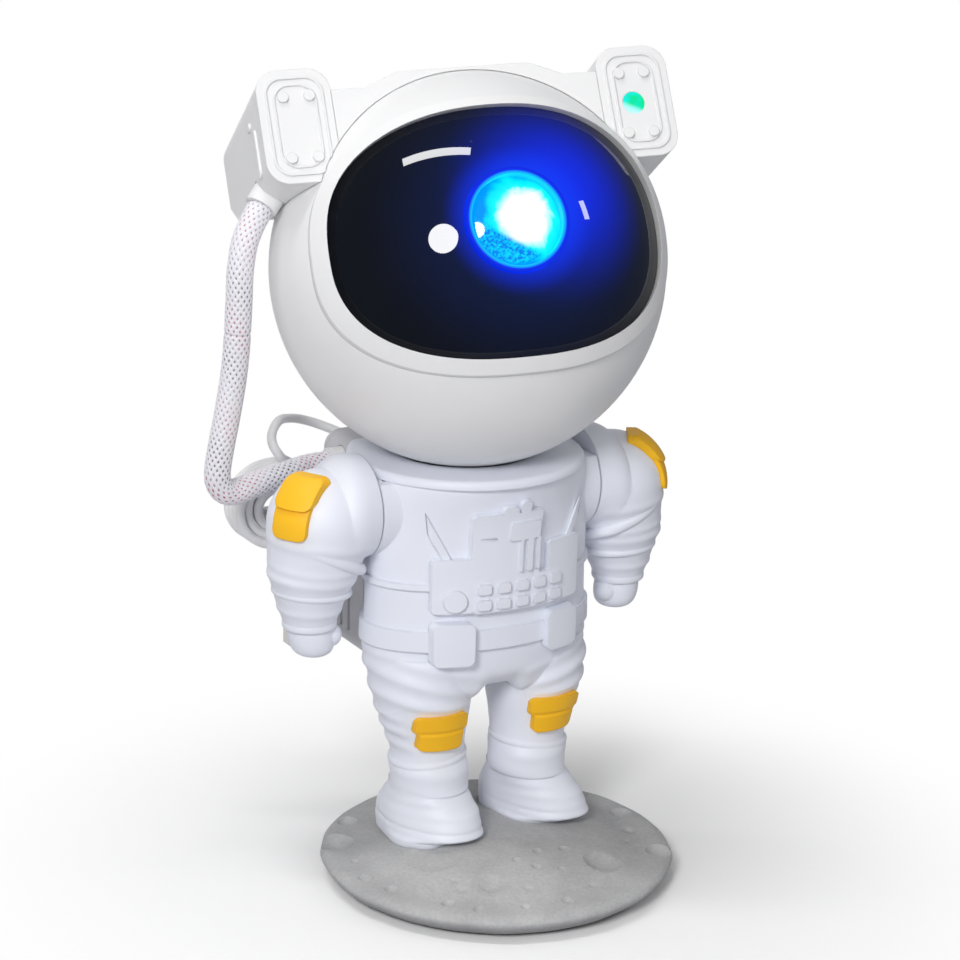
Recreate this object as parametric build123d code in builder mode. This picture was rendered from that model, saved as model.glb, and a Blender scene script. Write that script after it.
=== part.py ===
from build123d import *
import math
import os

# A table-top star projector in the form of a space-suited figure that stands on a moon base.
# Millimetres. The origin is the centre of the base's underside, +Z is up and the figure faces -Y.
# "Right" and "left" are the figure's own: its right hand is on -X.

os.makedirs("parts", exist_ok=True)

# ------------------------------------------------------------------ walls and clearances
WALL = 2.2  # moulded shells
SEAT_GAP = 0.15  # between pieces that are fitted together and stay put
MOVE_GAP = 0.4  # between curved faces that slide past each other
AXLE_GAP = 0.06  # radial running clearance of a shaft in its hole

# ------------------------------------------------------------------ moon base
BASE_R = 48.9
BASE_FOOT_R = 46.0
BASE_RIM_Z = 5.2
BASE_TOP_Z = 11.5
BASE_WALL = 3.0
BASE_EDGE_Z = 0.6  # the hard edge stops this far above the table; the pad stands on it
PAD_R = 41.0
PAD_THICK = 0.9
COVER_R = 42.4
COVER_THICK = 1.9
BALLAST_R = 24.0
BALLAST_THICK = 3.4
BASE_SCREW_RING_R = 36.0
# craters pressed into the dome: x, y, radius of the pressing ball, depth
CRATERS = (
    (-26.0, -7.2, 22.0, 1.2),
    (19.1, -27.6, 9.0, 1.7),
    (-16.8, -27.4, 8.0, 1.1),
    (-39.6, 20.6, 8.0, 1.3),
    (38.6, -24.0, 5.0, 1.2),
    (-35.2, 4.4, 2.2, 0.5),
    (-40.2, 6.6, 1.8, 0.5),
    (-36.3, -2.3, 1.6, 0.4),
    (-42.6, -4.4, 2.4, 0.6),
    (-39.7, -13.7, 2.6, 0.6),
    (-30.1, -17.8, 1.9, 0.5),
    (-24.3, -19.8, 1.6, 0.4),
    (-24.6, -24.8, 2.3, 0.6),
    (-30.3, -28.3, 2.8, 0.6),
    (-24.6, -35.4, 2.2, 0.5),
    (3.5, -17.1, 2.0, 0.5),
    (11.2, -18.4, 2.4, 0.5),
    (-4.4, -19.3, 1.7, 0.4),
    (-1.0, -24.6, 2.0, 0.5),
    (5.0, -27.4, 1.6, 0.4),
    (9.5, -36.4, 2.6, 0.6),
    (-8.3, -32.0, 1.8, 0.5),
    (-1.1, -41.0, 2.6, 0.6),
    (-13.0, -39.3, 1.8, 0.5),
    (37.7, -9.3, 3.0, 0.7),
    (33.0, -16.0, 2.0, 0.5),
    (42.5, 3.0, 5.0, 0.9),
    (38.0, 20.0, 4.5, 0.9),
    (-30.0, 32.0, 4.0, 0.8),
    (10.0, 41.0, 5.0, 0.9),
    (-10.0, 38.0, 3.5, 0.7),
)
# ------------------------------------------------------------------ figure: body, legs, boots
BODY_TOP_Z = 112.8
SEAM_Y = 19.0  # parting plane between the front and rear body shells
BACK_Y = 42.3  # flat back behind the shoulders
# upright ellipses of the torso: height, centre y, half width, half depth
TORSO = (
    (50.0, 14.5, 21.0, 11.5),
    (54.5, 15.0, 29.0, 17.0),
    (61.0, 15.2, 32.4, 19.2),
    (72.0, 15.0, 32.8, 19.6),
    (84.0, 15.0, 32.6, 19.6),
    (94.0, 15.6, 32.8, 20.4),
    (104.0, 18.2, 33.0, 24.4),
    (BODY_TOP_Z, 21.6, 32.8, 30.4),
)
# upright ellipses of one leg: height, distance from the middle, centre y, half width, half depth
LEG = (
    (24.0, 15.5, 11.6, 10.3, 11.4),
    (29.0, 15.3, 11.2, 10.5, 10.9),
    (35.0, 15.7, 12.0, 10.2, 10.6),
    (43.0, 16.6, 12.2, 11.8, 12.0),
    (50.0, 17.2, 12.6, 13.4, 13.8),
    (57.0, 17.4, 13.6, 14.2, 15.2),
    (64.0, 17.0, 14.6, 13.8, 15.6),
)
LEG_FLOOR_Z = 27.0  # the legs are solid below this
BOOT_TURN = 7.0  # degrees that each boot is toed out
# stadiums of one boot: height, distance from the middle, centre y, length, width
BOOT = (
    (9.7, 16.9, 13.6, 29.6, 20.6),
    (13.6, 16.9, 13.6, 30.2, 21.2),
    (17.5, 16.6, 14.0, 28.0, 20.8),
    (21.5, 16.0, 13.0, 24.4, 20.0),
    (25.5, 15.5, 11.8, 22.6, 20.8),
)
BOOT_RECESS_GAP = 0.6
CREASE_R = 1.1  # rolled folds round the legs and arms

CLAMP_BOSS_R = 3.4
CLAMP_SCREW_R = 1.2
CLAMP_HEAD_Y = 39.2
CLAMP_PLACES = ((-12.0, 70.0), (12.0, 70.0), (-12.0, 96.0), (12.0, 96.0))

# ------------------------------------------------------------------ figure: shoulders and arms
SHOULDER_Z = 104.4
SHOULDER_R = 13.9  # round seat that the arm turns against
SHOULDER_FACE_X = 33.2
SHOULDER_PLATE = 2.4
ARM_FACE_GAP = 0.4
# upright circles of the upper arm: distance from the middle, height, radius
SHOULDER = (
    (33.6, 104.4, 13.9),
    (37.0, 104.1, 14.6),
    (41.0, 102.9, 14.8),
    (44.0, 101.3, 13.5),
)
SHOULDER_BALL = (44.9, 100.8, 14.7)
# level circles of one arm below the shoulder: height, distance from the middle, radius
FOREARM = (
    (74.0, 48.3, 7.2),
    (80.2, 48.1, 9.4),
    (87.2, 47.3, 11.8),
    (94.2, 46.1, 13.4),
    (99.2, 45.3, 14.0),
)
# hand: height, distance from the middle, radius
HAND = ((64.4, 47.3, 3.2), (66.8, 47.5, 5.8), (70.2, 47.9, 6.2), (73.8, 48.2, 5.8))
CUFF = (73.4, 48.3)
AXLE_R = 3.5
AXLE_FLANGE_R = 5.6
AXLE_FLANGE_THICK = 1.8
AXLE_END_X = SHOULDER_FACE_X - SHOULDER_PLATE - 0.3 - AXLE_FLANGE_THICK

# ------------------------------------------------------------------ chest pack, belt and straps
STRAP_RAISE = 1.0
BELT_RAISE = 1.0
BELT_Z = (66.8, 72.6)
RIB_RAISE = 0.8
RIB_Z = (84.0, 85.8)
BOX_RAISE = 2.0
DETAIL_RAISE = 2.8
POUCH_RAISE = 3.4
# each box: centre x, centre height, width, height
CHEST_BOXES = (
    (-16.9, 85.5, 11.0, 15.2),
    (16.7, 86.4, 11.6, 17.4),
    (-2.3, 91.8, 20.6, 27.4),
    (2.0, 82.4, 27.6, 9.6),
    (-2.4, 106.0, 4.4, 3.0),
    (2.0, 106.6, 3.2, 4.4),
)
CHEST_DETAILS = (
    (2.5, 100.0, 9.4, 5.2),
    (1.6, 93.0, 1.1, 9.4),
    (4.2, 93.0, 2.2, 9.4),
    (7.0, 93.0, 1.3, 9.4),
)
CHEST_BUTTON = (-16.7, 81.6, 3.1)
KEY_X = (-8.9, -3.3, 2.3, 7.9, 13.4)
KEY_Z = (84.5, 80.1)
KEY_SIZE = (4.0, 2.9)
POUCHES = ((-16.9, 69.4, 11.0, 12.2), (16.1, 69.8, 10.8, 11.4))

# ------------------------------------------------------------------ neck
NECK_Y = 22.0
NECK_R = 32.4
NECK_TOP_Z = 115.2
NECK_BOSS_R = 14.8
NECK_BOSS_Z = 101.5
MAGNET_R = 8.5
RETAINER_R = 13.2
MAGNET_Z = (104.0, 109.6)

# ------------------------------------------------------------------ head
HEAD_X, HEAD_Y, HEAD_Z = 0.0, 23.0, 165.0
HEAD_R = 53.1
HEAD_WALL = 2.4
HEAD_YAW = 14.0  # degrees, turned to the figure's right
HEAD_PITCH = 29.8  # degrees, tipped back
HEAD_ROLL = 2.8  # degrees, leaning to the figure's right
HEAD_SPLIT = -3.0  # parting plane of the two head shells, measured forwards from the centre
VISOR_HALF_WIDTH = 44.4
VISOR_TOP = 29.9
VISOR_BOTTOM = 35.9
VISOR_THICK = 2.0
VISOR_SINK = 0.7  # how far the visor lies under the head's outer face
BEZEL_WIDTH = 3.4
BEZEL_RAISE = 1.2
EAR_X = (36.2, 55.8)  # inner and outer face, from the middle
EAR_UP = (18.9, 49.7)
EAR_FRONT = 26.3
EAR_REAR = -27.3
EAR_CORNER = 6.0
EAR_PLATE_THICK = 2.0
CREST_UP = (43.4, 47.2)
LENS_DROP = 3.5  # degrees that the optical axis points below the head's own axis
LENS_R = 11.8
LENS_RING_R = 13.5
LASER_X, LASER_UP, LASER_R = 45.1, 34.0, 3.0

# ------------------------------------------------------------------ backpack
PACK_HALF_WIDTH = 26.0
PACK_FRONT_Y = 31.0
PACK_Z = (55.0, 114.6)
PACK_REAR_Y = 57.0
PACK_COVER_THICK = 2.4
PACK_CORNER = 5.0
USB_GLAND_PLACE = (-11.2, 107.2)
BUTTON_R = 4.0
BUTTON_TRAVEL = 0.6
BUTTON_PLACES = {
    "power_button": (-11.0, 96.0),
    "nebula_button": (11.0, 96.0),
    "star_button": (-11.0, 82.0),
    "brightness_button": (11.0, 82.0),
}

# ------------------------------------------------------------------ cords
SLEEVE_D = 7.2
GLAND_R = 4.4
SLEEVE_END_X, SLEEVE_END_Y, SLEEVE_END_Z = -29.4, 46.5, 107.8
CORD_D = 2.6
COIL_CENTRE = (-40.6, 56.0, 95.2)
COIL_OUTER = (14.2, 12.4)  # half width and half height of the hank
COIL_EYE = (4.6, 2.9)
COIL_HALF_DEPTH = 5.6
# middle line of the braided sleeve, from the ear housing to the backpack
SLEEVE_UPPER = (
    (-54.6, 36.3, 183.4),
    (-59.4, 34.6, 178.0),
    (-62.0, 33.2, 169.0),
    (-62.4, 32.9, 159.5),
    (-62.8, 33.1, 151.25),
)
SLEEVE_LOWER = (
    (-62.8, 33.1, 151.25),
    (-63.2, 33.3, 143.0),
    (-65.2, 33.9, 130.0),
    (-67.6, 34.5, 117.5),
    (-68.2, 34.9, 110.6),
    (-64.4, 35.8, 106.4),
    (-56.0, 37.8, 107.6),
    (-42.0, 43.0, 107.9),
    (-36.0, SLEEVE_END_Y, SLEEVE_END_Z),
    (SLEEVE_END_X, SLEEVE_END_Y, SLEEVE_END_Z),
)
# middle line of the supply lead, from its gland to the hank
LEAD_ROUTE = (
    (-11.2, 65.0, 107.2),
    (-13.3, 69.4, 108.4),
    (-17.0, 72.7, 110.0),
    (-21.8, 74.0, 112.0),
    (-26.6, 72.2, 113.8),
    (-30.6, 68.2, 115.4),
    (-39.2, 58.4, 118.6),
    (-43.05, 56.6, 114.0),
    (-40.4, 56.0, 106.7),
)


# ------------------------------------------------------------------ shared forms
def ellipse_loft(rings, grow=0.0, mode=Mode.ADD):
    """Loft a smooth skin through level ellipses (height, centre x, centre y, half width, half depth)."""
    sections = []
    for z, x, y, half_width, half_depth in rings:
        with BuildSketch(Plane.XY.offset(z)) as ring:
            with Locations((x, y)):
                Ellipse(half_width + grow, half_depth + grow)
        sections.append(ring.sketch)
    loft(sections, mode=mode)


def torso_form(grow=0.0, mode=Mode.ADD):
    """The torso's outside, or a skin parallel to it, with the flat back that carries the backpack."""
    with BuildPart(mode=Mode.PRIVATE) as form:
        ellipse_loft([(z, 0, y, a, b) for z, y, a, b in TORSO], grow)
        split(bisect_by=Plane.XZ.offset(-BACK_Y - grow), keep=Keep.TOP)
    add(form.part, mode=mode)


def leg_form(side, grow=0.0, mode=Mode.ADD, floor=0.0):
    """One leg from hip to ankle; side is -1 for the right leg and 1 for the left."""
    rings = [(max(z, floor), side * x, y, a, b) for z, x, y, a, b in LEG]
    ellipse_loft(rings, grow, mode)


def boot_form(side, mode=Mode.ADD):
    """One boot: stadiums that shorten from the sole to the ankle."""
    sections = []
    for z, x, y, length, width in BOOT:
        with BuildSketch(Plane.XY.offset(z)) as sole:
            with Locations(Location((side * x, y, 0), (0, 0, 90 + side * BOOT_TURN))):
                SlotOverall(length, width)
        sections.append(sole.sketch)
    loft(sections, mode=mode)


def crease(centre, radius, tilt_x, tilt_y, thickness=CREASE_R, mode=Mode.ADD):
    """A rolled fold of the suit: a ring round a limb, tipped about X and Y."""
    with Locations(Location(centre, (tilt_x, tilt_y, 37))):
        Torus(radius, thickness, mode=mode)


# ------------------------------------------------------------------ moon base
with BuildPart() as moon_base:
    with BuildSketch(Plane.XZ) as base_section:
        with BuildLine():
            outer = Spline(
                (0, BASE_TOP_Z),
                (28.0, BASE_TOP_Z - 1.75),
                (42.0, BASE_TOP_Z - 4.2),
                (BASE_R, BASE_RIM_Z),
                tangents=((1, 0), (0.25, -1)),
            )
            foot = ThreePointArc(
                (BASE_R, BASE_RIM_Z), (BASE_R - 0.6, 2.6), (BASE_FOOT_R, BASE_EDGE_Z)
            )
            Polyline(
                (BASE_FOOT_R, BASE_EDGE_Z),
                (BASE_FOOT_R - BASE_WALL, BASE_EDGE_Z),
                (BASE_R - BASE_WALL - 1.4, BASE_RIM_Z - 1.2),
            )
            Spline(
                (BASE_R - BASE_WALL - 1.4, BASE_RIM_Z - 1.2),
                (28.0, BASE_TOP_Z - BASE_WALL - 1.75),
                (0, BASE_TOP_Z - BASE_WALL),
                tangents=((-1, 0.6), (-1, 0)),
            )
            Line((0, BASE_TOP_Z - BASE_WALL), (0, BASE_TOP_Z))
        make_face()
    revolve(axis=Axis.Z)
    # bosses for the cover's screws
    with PolarLocations(BASE_SCREW_RING_R, 4, start_angle=45):
        with Locations((0, 0, 4.6)):
            Cylinder(3.0, 3.6)
    for x, y, ball, depth in CRATERS:
        r = math.hypot(x, y)
        crown = BASE_TOP_Z - (BASE_TOP_Z - BASE_RIM_Z) * (r / BASE_R) ** 2.2
        with Locations((x, y, crown + ball - depth)):
            Sphere(ball, mode=Mode.SUBTRACT)
    # the boots stand in close recesses
    for side in (-1, 1):
        z, x, y, length, width = BOOT[0]
        with BuildSketch(Plane.XY.offset(z)) as recess:
            with Locations(Location((side * x, y, 0), (0, 0, 90 + side * BOOT_TURN))):
                SlotOverall(length + 2 * BOOT_RECESS_GAP + 0.6, width + 2 * BOOT_RECESS_GAP + 0.6)
        extrude(recess.sketch, amount=6, mode=Mode.SUBTRACT)
    with PolarLocations(BASE_SCREW_RING_R, 4, start_angle=45):
        with Locations((0, 0, 4.2)):
            Cylinder(1.0, 3.4, mode=Mode.SUBTRACT)
moon_base.part.label = "moon_base"
export_step(moon_base.part, "parts/moon_base.step")

COVER_Z = PAD_THICK
with BuildPart() as base_cover:
    with BuildSketch(Plane.XY.offset(COVER_Z)):
        Circle(COVER_R)
    extrude(amount=COVER_THICK)
    with PolarLocations(BASE_SCREW_RING_R, 4, start_angle=45):
        with Locations((0, 0, COVER_Z)):
            Cylinder(2.5, 1.0, align=(Align.CENTER, Align.CENTER, Align.MIN), mode=Mode.SUBTRACT)
            Cylinder(1.4, COVER_THICK, align=(Align.CENTER, Align.CENTER, Align.MIN), mode=Mode.SUBTRACT)
base_cover.part.label = "base_cover"
export_step(base_cover.part, "parts/base_cover.step")

with BuildPart() as base_screws:
    with PolarLocations(BASE_SCREW_RING_R, 4, start_angle=45):
        with Locations((0, 0, COVER_Z + 0.05)):
            Cylinder(2.3, 0.9, align=(Align.CENTER, Align.CENTER, Align.MIN))
            Cylinder(0.95, 4.4, align=(Align.CENTER, Align.CENTER, Align.MIN))
base_screws.part.label = "base_screws"
export_step(base_screws.part, "parts/base_screws.step")

with BuildPart() as base_pad:
    with BuildSketch():
        Circle(PAD_R)
    extrude(amount=PAD_THICK)
base_pad.part.label = "base_pad"
export_step(base_pad.part, "parts/base_pad.step")

with BuildPart() as base_ballast:
    with BuildSketch(Plane.XY.offset(COVER_Z + COVER_THICK + 0.05)):
        Circle(BALLAST_R)
    extrude(amount=BALLAST_THICK)
    fillet(base_ballast.edges().filter_by(GeomType.CIRCLE), 0.5)
base_ballast.part.label = "base_ballast"
export_step(base_ballast.part, "parts/base_ballast.step")

# ------------------------------------------------------------------ body form, shared by both shells
STUB_INNER_X = 22.0  # the shoulder stubs start inside the torso


def shoulder_stub(side, radius, face_x, mode):
    """A short round stub from inside the torso out to a shoulder face."""
    with BuildSketch(Plane.YZ.offset(side * STUB_INNER_X)) as disc:
        with Locations((SEAM_Y, SHOULDER_Z)):
            Circle(radius)
    extrude(disc.sketch, amount=side * (face_x - STUB_INNER_X), mode=mode)


def torso_relief(grow, boxes, rounding, circles=()):
    """Raised panels with faces parallel to the torso; a box is centre x, height, width, height."""
    with BuildPart(mode=Mode.PRIVATE) as panels:
        torso_form(grow)
        with BuildSketch(Plane.XZ) as outline:
            for x, z, width, height in boxes:
                with Locations((x, z)):
                    RectangleRounded(width, height, min(rounding, width * 0.4, height * 0.4))
            for x, z, radius in circles:
                with Locations((x, z)):
                    Circle(radius)
        extrude(outline.sketch, amount=30, mode=Mode.INTERSECT)
        add(torso_skin.part, mode=Mode.SUBTRACT)
    add(panels.part)


with BuildPart() as body_form:
    torso_form()
    for side in (-1, 1):
        leg_form(side)
        boot_form(side)
        crease((side * 15.6, 11.6, 33.2), 9.6, 0, side * 6)
        crease((side * 17.0, 12.6, 52.5), 12.9, -14, side * 24)
        shoulder_stub(side, SHOULDER_R, SHOULDER_FACE_X, Mode.ADD)
    # hollow inside
    torso_form(-WALL, Mode.SUBTRACT)
    for side in (-1, 1):
        shoulder_stub(side, SHOULDER_R - WALL, SHOULDER_FACE_X - SHOULDER_PLATE, Mode.SUBTRACT)
        leg_form(side, -WALL, Mode.SUBTRACT, floor=LEG_FLOOR_Z)
    with BuildSketch(Plane.XY.offset(BODY_TOP_Z)):
        Circle(60)
    extrude(amount=8, mode=Mode.SUBTRACT)

with BuildPart() as torso_skin:
    torso_form()

with BuildPart() as bands:
    # belt and rib run round the front and the sides, as far as the backpack
    for raise_by, (low, high) in ((BELT_RAISE, BELT_Z), (RIB_RAISE, RIB_Z)):
        with BuildPart(mode=Mode.PRIVATE) as band:
            torso_form(raise_by)
            with BuildSketch(Plane.XY.offset(low)) as reach:
                with Locations((0, PACK_FRONT_Y - 0.3)):
                    Rectangle(100, 60, align=(Align.CENTER, Align.MAX))
            extrude(reach.sketch, amount=high - low, mode=Mode.INTERSECT)
        add(band.part)

with BuildPart() as straps:
    torso_form(STRAP_RAISE)
    with BuildSketch(Plane.XZ) as strap_outline:
        for side in (-1, 1):
            with BuildLine():
                Polyline(
                    (side * 30.0, BODY_TOP_Z),
                    (side * 27.4, BODY_TOP_Z),
                    (side * 16.6, 92.0),
                    (side * 18.9, 92.0),
                    close=True,
                )
            make_face()
    extrude(strap_outline.sketch, amount=30, mode=Mode.INTERSECT)


def clamp_bosses(start_y, ends):
    """Posts along Y inside the body that the long body screws pull together."""
    for (x, z), end_y in ends.items():
        with BuildSketch(Plane.XZ.offset(-start_y)) as post:
            with Locations((x, z)):
                Circle(CLAMP_BOSS_R)
        extrude(post.sketch, amount=start_y - end_y)
        with BuildSketch(Plane.XZ.offset(-start_y)) as bore:
            with Locations((x, z)):
                Circle(CLAMP_SCREW_R + 0.05)
        extrude(bore.sketch, amount=start_y - end_y - (1.6 if end_y < start_y else 4), mode=Mode.SUBTRACT)


with BuildPart() as body_shells:
    add(body_form.part)
    for raised in (bands, straps):
        with BuildPart(mode=Mode.PRIVATE) as trimmed:
            add(raised.part)
            add(torso_skin.part, mode=Mode.SUBTRACT)
        add(trimmed.part)
    torso_relief(BOX_RAISE, CHEST_BOXES, 1.2)
    keys = [(x, z, *KEY_SIZE) for x in KEY_X for z in KEY_Z]
    torso_relief(DETAIL_RAISE, CHEST_DETAILS + tuple(keys), 0.8, [CHEST_BUTTON])
    torso_relief(POUCH_RAISE, POUCHES, 2.0)
    with Locations((-8.0, -6.8, 98.3)):
        Box(4.6, 1.6, 0.7, mode=Mode.SUBTRACT)
    # holes for the arms' axles, and the open top
    for side in (-1, 1):
        with BuildSketch(Plane.YZ.offset(side * (SHOULDER_FACE_X - SHOULDER_PLATE - 1))) as axle_hole:
            with Locations((SEAM_Y, SHOULDER_Z)):
                Circle(AXLE_R + AXLE_GAP)
        extrude(axle_hole.sketch, amount=side * (SHOULDER_PLATE + 2), mode=Mode.SUBTRACT)
    with BuildSketch(Plane.XY.offset(BODY_TOP_Z - 0.05)) as open_top:
        Circle(60)
    extrude(open_top.sketch, amount=20, mode=Mode.SUBTRACT)

with BuildPart() as body_front_shell:
    add(body_shells.part)
    split(bisect_by=Plane.XZ.offset(-SEAM_Y), keep=Keep.TOP)
    clamp_bosses(SEAM_Y, {place: -1.6 for place in CLAMP_PLACES})
body_front_shell.part.label = "body_front_shell"
export_step(body_front_shell.part, "parts/body_front_shell.step")

with BuildPart() as body_rear_shell:
    add(body_shells.part)
    split(bisect_by=Plane.XZ.offset(-SEAM_Y), keep=Keep.BOTTOM)
    clamp_bosses(SEAM_Y, {(x, z): 32.0 if z < 80 else 34.0 for x, z in CLAMP_PLACES})
body_rear_shell.part.label = "body_rear_shell"
export_step(body_rear_shell.part, "parts/body_rear_shell.step")

# ------------------------------------------------------------------ neck
with BuildPart() as neck_cup:
    with BuildSketch(Plane.XY.offset(BODY_TOP_Z)):
        with Locations((0, NECK_Y)):
            Circle(NECK_R)
    extrude(amount=NECK_TOP_Z - BODY_TOP_Z)
    fillet(neck_cup.edges().filter_by(GeomType.CIRCLE).sort_by(Axis.Z)[-1], 1.5)
    with BuildSketch(Plane.XY.offset(NECK_BOSS_Z)):
        with Locations((HEAD_X, HEAD_Y)):
            Circle(NECK_BOSS_R)
    extrude(amount=BODY_TOP_Z + 0.5 - NECK_BOSS_Z)
    # the skirt drops just inside the body's wall
    with BuildPart(mode=Mode.PRIVATE) as skirt:
        torso_form(-WALL - SEAT_GAP)
        torso_form(-WALL - SEAT_GAP - 1.8, mode=Mode.SUBTRACT)
        with BuildSketch(Plane.XY.offset(BODY_TOP_Z - 4)):
            Circle(60)
            Rectangle(2 * (AXLE_END_X - SEAT_GAP), 120, mode=Mode.INTERSECT)
        extrude(amount=4.1, mode=Mode.INTERSECT)
    add(skirt.part)
    split(bisect_by=Plane.XZ.offset(-BACK_Y), keep=Keep.TOP)
    with Locations((HEAD_X, HEAD_Y, HEAD_Z)):
        Sphere(HEAD_R + MOVE_GAP, mode=Mode.SUBTRACT)
    with BuildSketch(Plane.XY.offset(NECK_BOSS_Z)):
        with Locations((HEAD_X, HEAD_Y)):
            Circle(MAGNET_R + AXLE_GAP)
    extrude(amount=MAGNET_Z[1] + 0.15 - NECK_BOSS_Z, mode=Mode.SUBTRACT)
    with BuildSketch(Plane.XY.offset(NECK_BOSS_Z)):
        with Locations((HEAD_X, HEAD_Y)):
            Circle(RETAINER_R + SEAT_GAP)
    extrude(amount=2.35, mode=Mode.SUBTRACT)
neck_cup.part.label = "neck_cup"
export_step(neck_cup.part, "parts/neck_cup.step")

with BuildPart() as neck_magnet:
    with BuildSketch(Plane.XY.offset(MAGNET_Z[0])):
        with Locations((HEAD_X, HEAD_Y)):
            Circle(MAGNET_R)
    extrude(amount=MAGNET_Z[1] - MAGNET_Z[0])
    chamfer(neck_magnet.edges().filter_by(GeomType.CIRCLE), 0.4)
neck_magnet.part.label = "neck_magnet"
export_step(neck_magnet.part, "parts/neck_magnet.step")

with BuildPart() as magnet_retainer:
    with BuildSketch(Plane.XY.offset(NECK_BOSS_Z)):
        with Locations((HEAD_X, HEAD_Y)):
            Circle(RETAINER_R)
    extrude(amount=2.3)
magnet_retainer.part.label = "magnet_retainer"
export_step(magnet_retainer.part, "parts/magnet_retainer.step")


# ------------------------------------------------------------------ arms
def arm_form():
    """Shoulder, upper arm and forearm of the left arm, without its hand."""
    circles = []
    first_x, first_z, first_r = SHOULDER[0]
    for x, z, radius in ((first_x - 3.0, first_z, first_r),) + SHOULDER:
        with BuildSketch(Plane.YZ.offset(x)) as circle:
            with Locations((SEAM_Y, z)):
                Circle(radius)
        circles.append(circle.sketch)
    loft(circles)
    x, z, radius = SHOULDER_BALL
    with Locations((x, SEAM_Y, z)):
        Sphere(radius)
    ellipse_loft([(z, x, SEAM_Y, r, r) for z, x, r in FOREARM])


def build_arm():
    """A whole arm in one moulding, with folds, cuff, hand and the axle it turns on."""
    with BuildPart() as arm:
        arm_form()
        crease((46.4, SEAM_Y, 92.4), 12.4, -6, -24, 1.6)
        crease((47.7, SEAM_Y, 82.4), 9.9, -2, -4, 1.0)
        with BuildPart(mode=Mode.PRIVATE) as cuff:
            with Locations((CUFF[1], SEAM_Y, CUFF[0])):
                Cylinder(7.4, 2.6)
            fillet(cuff.edges().filter_by(GeomType.CIRCLE), 1.0)
        add(cuff.part)
        ellipse_loft([(z, x, SEAM_Y, r, r * 1.05) for z, x, r in HAND])
        with Locations((43.3, SEAM_Y - 2.0, 69.8)):
            Sphere(3.3)
        with BuildSketch(Plane.YZ.offset((SHOULDER_FACE_X + ARM_FACE_GAP))) as flat:
            with Locations((SEAM_Y, 90)):
                Rectangle(60, 100)
        extrude(flat.sketch, amount=-8, mode=Mode.SUBTRACT)
        with BuildSketch(Plane.YZ.offset((SHOULDER_FACE_X + 2))) as axle:
            with Locations((SEAM_Y, SHOULDER_Z)):
                Circle(AXLE_R)
        extrude(axle.sketch, amount=-(2 + SHOULDER_PLATE + 0.3 + AXLE_FLANGE_THICK))
        with BuildSketch(Plane.YZ.offset((SHOULDER_FACE_X - SHOULDER_PLATE - 0.3))) as flange:
            with Locations((SEAM_Y, SHOULDER_Z)):
                Circle(AXLE_FLANGE_R)
        extrude(flange.sketch, amount=-AXLE_FLANGE_THICK)
    return arm.part


def build_patch(arm):
    """A sewn shoulder patch with a flap, wrapped on the outside of the upper arm."""
    ball_x, ball_z, ball_r = SHOULDER_BALL
    middle = Vector(ball_x + 3.6, SEAM_Y - 2.0, ball_z + 6.8)
    outwards = Vector(0.876, -0.482, 0)
    face = Plane(origin=middle, x_dir=Vector(0, 0, 1).cross(outwards), z_dir=outwards)
    with BuildPart() as patch:
        with Locations((ball_x, SEAM_Y, ball_z)):
            Sphere(ball_r + 1.2)
        with BuildSketch(face) as outline:
            RectangleRounded(10.6, 15.0, 2.0)
        extrude(outline.sketch, amount=20, mode=Mode.INTERSECT)
        with BuildPart(mode=Mode.PRIVATE) as flap:
            with Locations((ball_x, SEAM_Y, ball_z)):
                Sphere(ball_r + 2.0)
            with BuildSketch(face) as flap_outline:
                with Locations((0, 4.2)):
                    RectangleRounded(11.6, 7.4, 2.0)
            extrude(flap_outline.sketch, amount=20, mode=Mode.INTERSECT)
        add(flap.part)
        add(arm, mode=Mode.SUBTRACT)
    return patch.part


with BuildPart() as arm_left:
    add(build_arm())
arm_left.part.label = "arm_left"
export_step(arm_left.part, "parts/arm_left.step")

with BuildPart() as arm_right:
    mirror(arm_left.part, about=Plane.YZ)
arm_right.part.label = "arm_right"
export_step(arm_right.part, "parts/arm_right.step")

with BuildPart() as patch_left:
    add(build_patch(arm_left.part))
patch_left.part.label = "patch_left"
export_step(patch_left.part, "parts/patch_left.step")

with BuildPart() as patch_right:
    mirror(patch_left.part, about=Plane.YZ)
patch_right.part.label = "patch_right"
export_step(patch_right.part, "parts/patch_right.step")


# ------------------------------------------------------------------ knee pads
def build_knee_pad(side):
    """A two-tier pad bonded on the front of one knee."""
    with BuildPart() as pad:
        leg_form(side, 1.7)
        with BuildSketch(Plane.XZ.offset(-9.0)) as tiers:
            with Locations((side * 17.6, 45.6)):
                RectangleRounded(15.4, 5.4, 1.6)
            with Locations((side * 17.5, 41.0)):
                RectangleRounded(12.8, 6.2, 1.6)
        extrude(tiers.sketch, amount=30, mode=Mode.INTERSECT)
        leg_form(side, 0.05, mode=Mode.SUBTRACT)
    return pad.part


with BuildPart() as knee_pad_right:
    add(build_knee_pad(-1))
knee_pad_right.part.label = "knee_pad_right"
export_step(knee_pad_right.part, "parts/knee_pad_right.step")

with BuildPart() as knee_pad_left:
    add(build_knee_pad(1))
knee_pad_left.part.label = "knee_pad_left"
export_step(knee_pad_left.part, "parts/knee_pad_left.step")

# ------------------------------------------------------------------ backpack
PACK_MID_Z = (PACK_Z[0] + PACK_Z[1]) / 2
PACK_HEIGHT = PACK_Z[1] - PACK_Z[0]
PACK_SHELL_REAR_Y = PACK_REAR_Y - PACK_COVER_THICK
PACK_SCREWS = ((-20.0, 61.0), (20.0, 61.0), (-20.0, 106.0), (20.0, 106.0))


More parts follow.
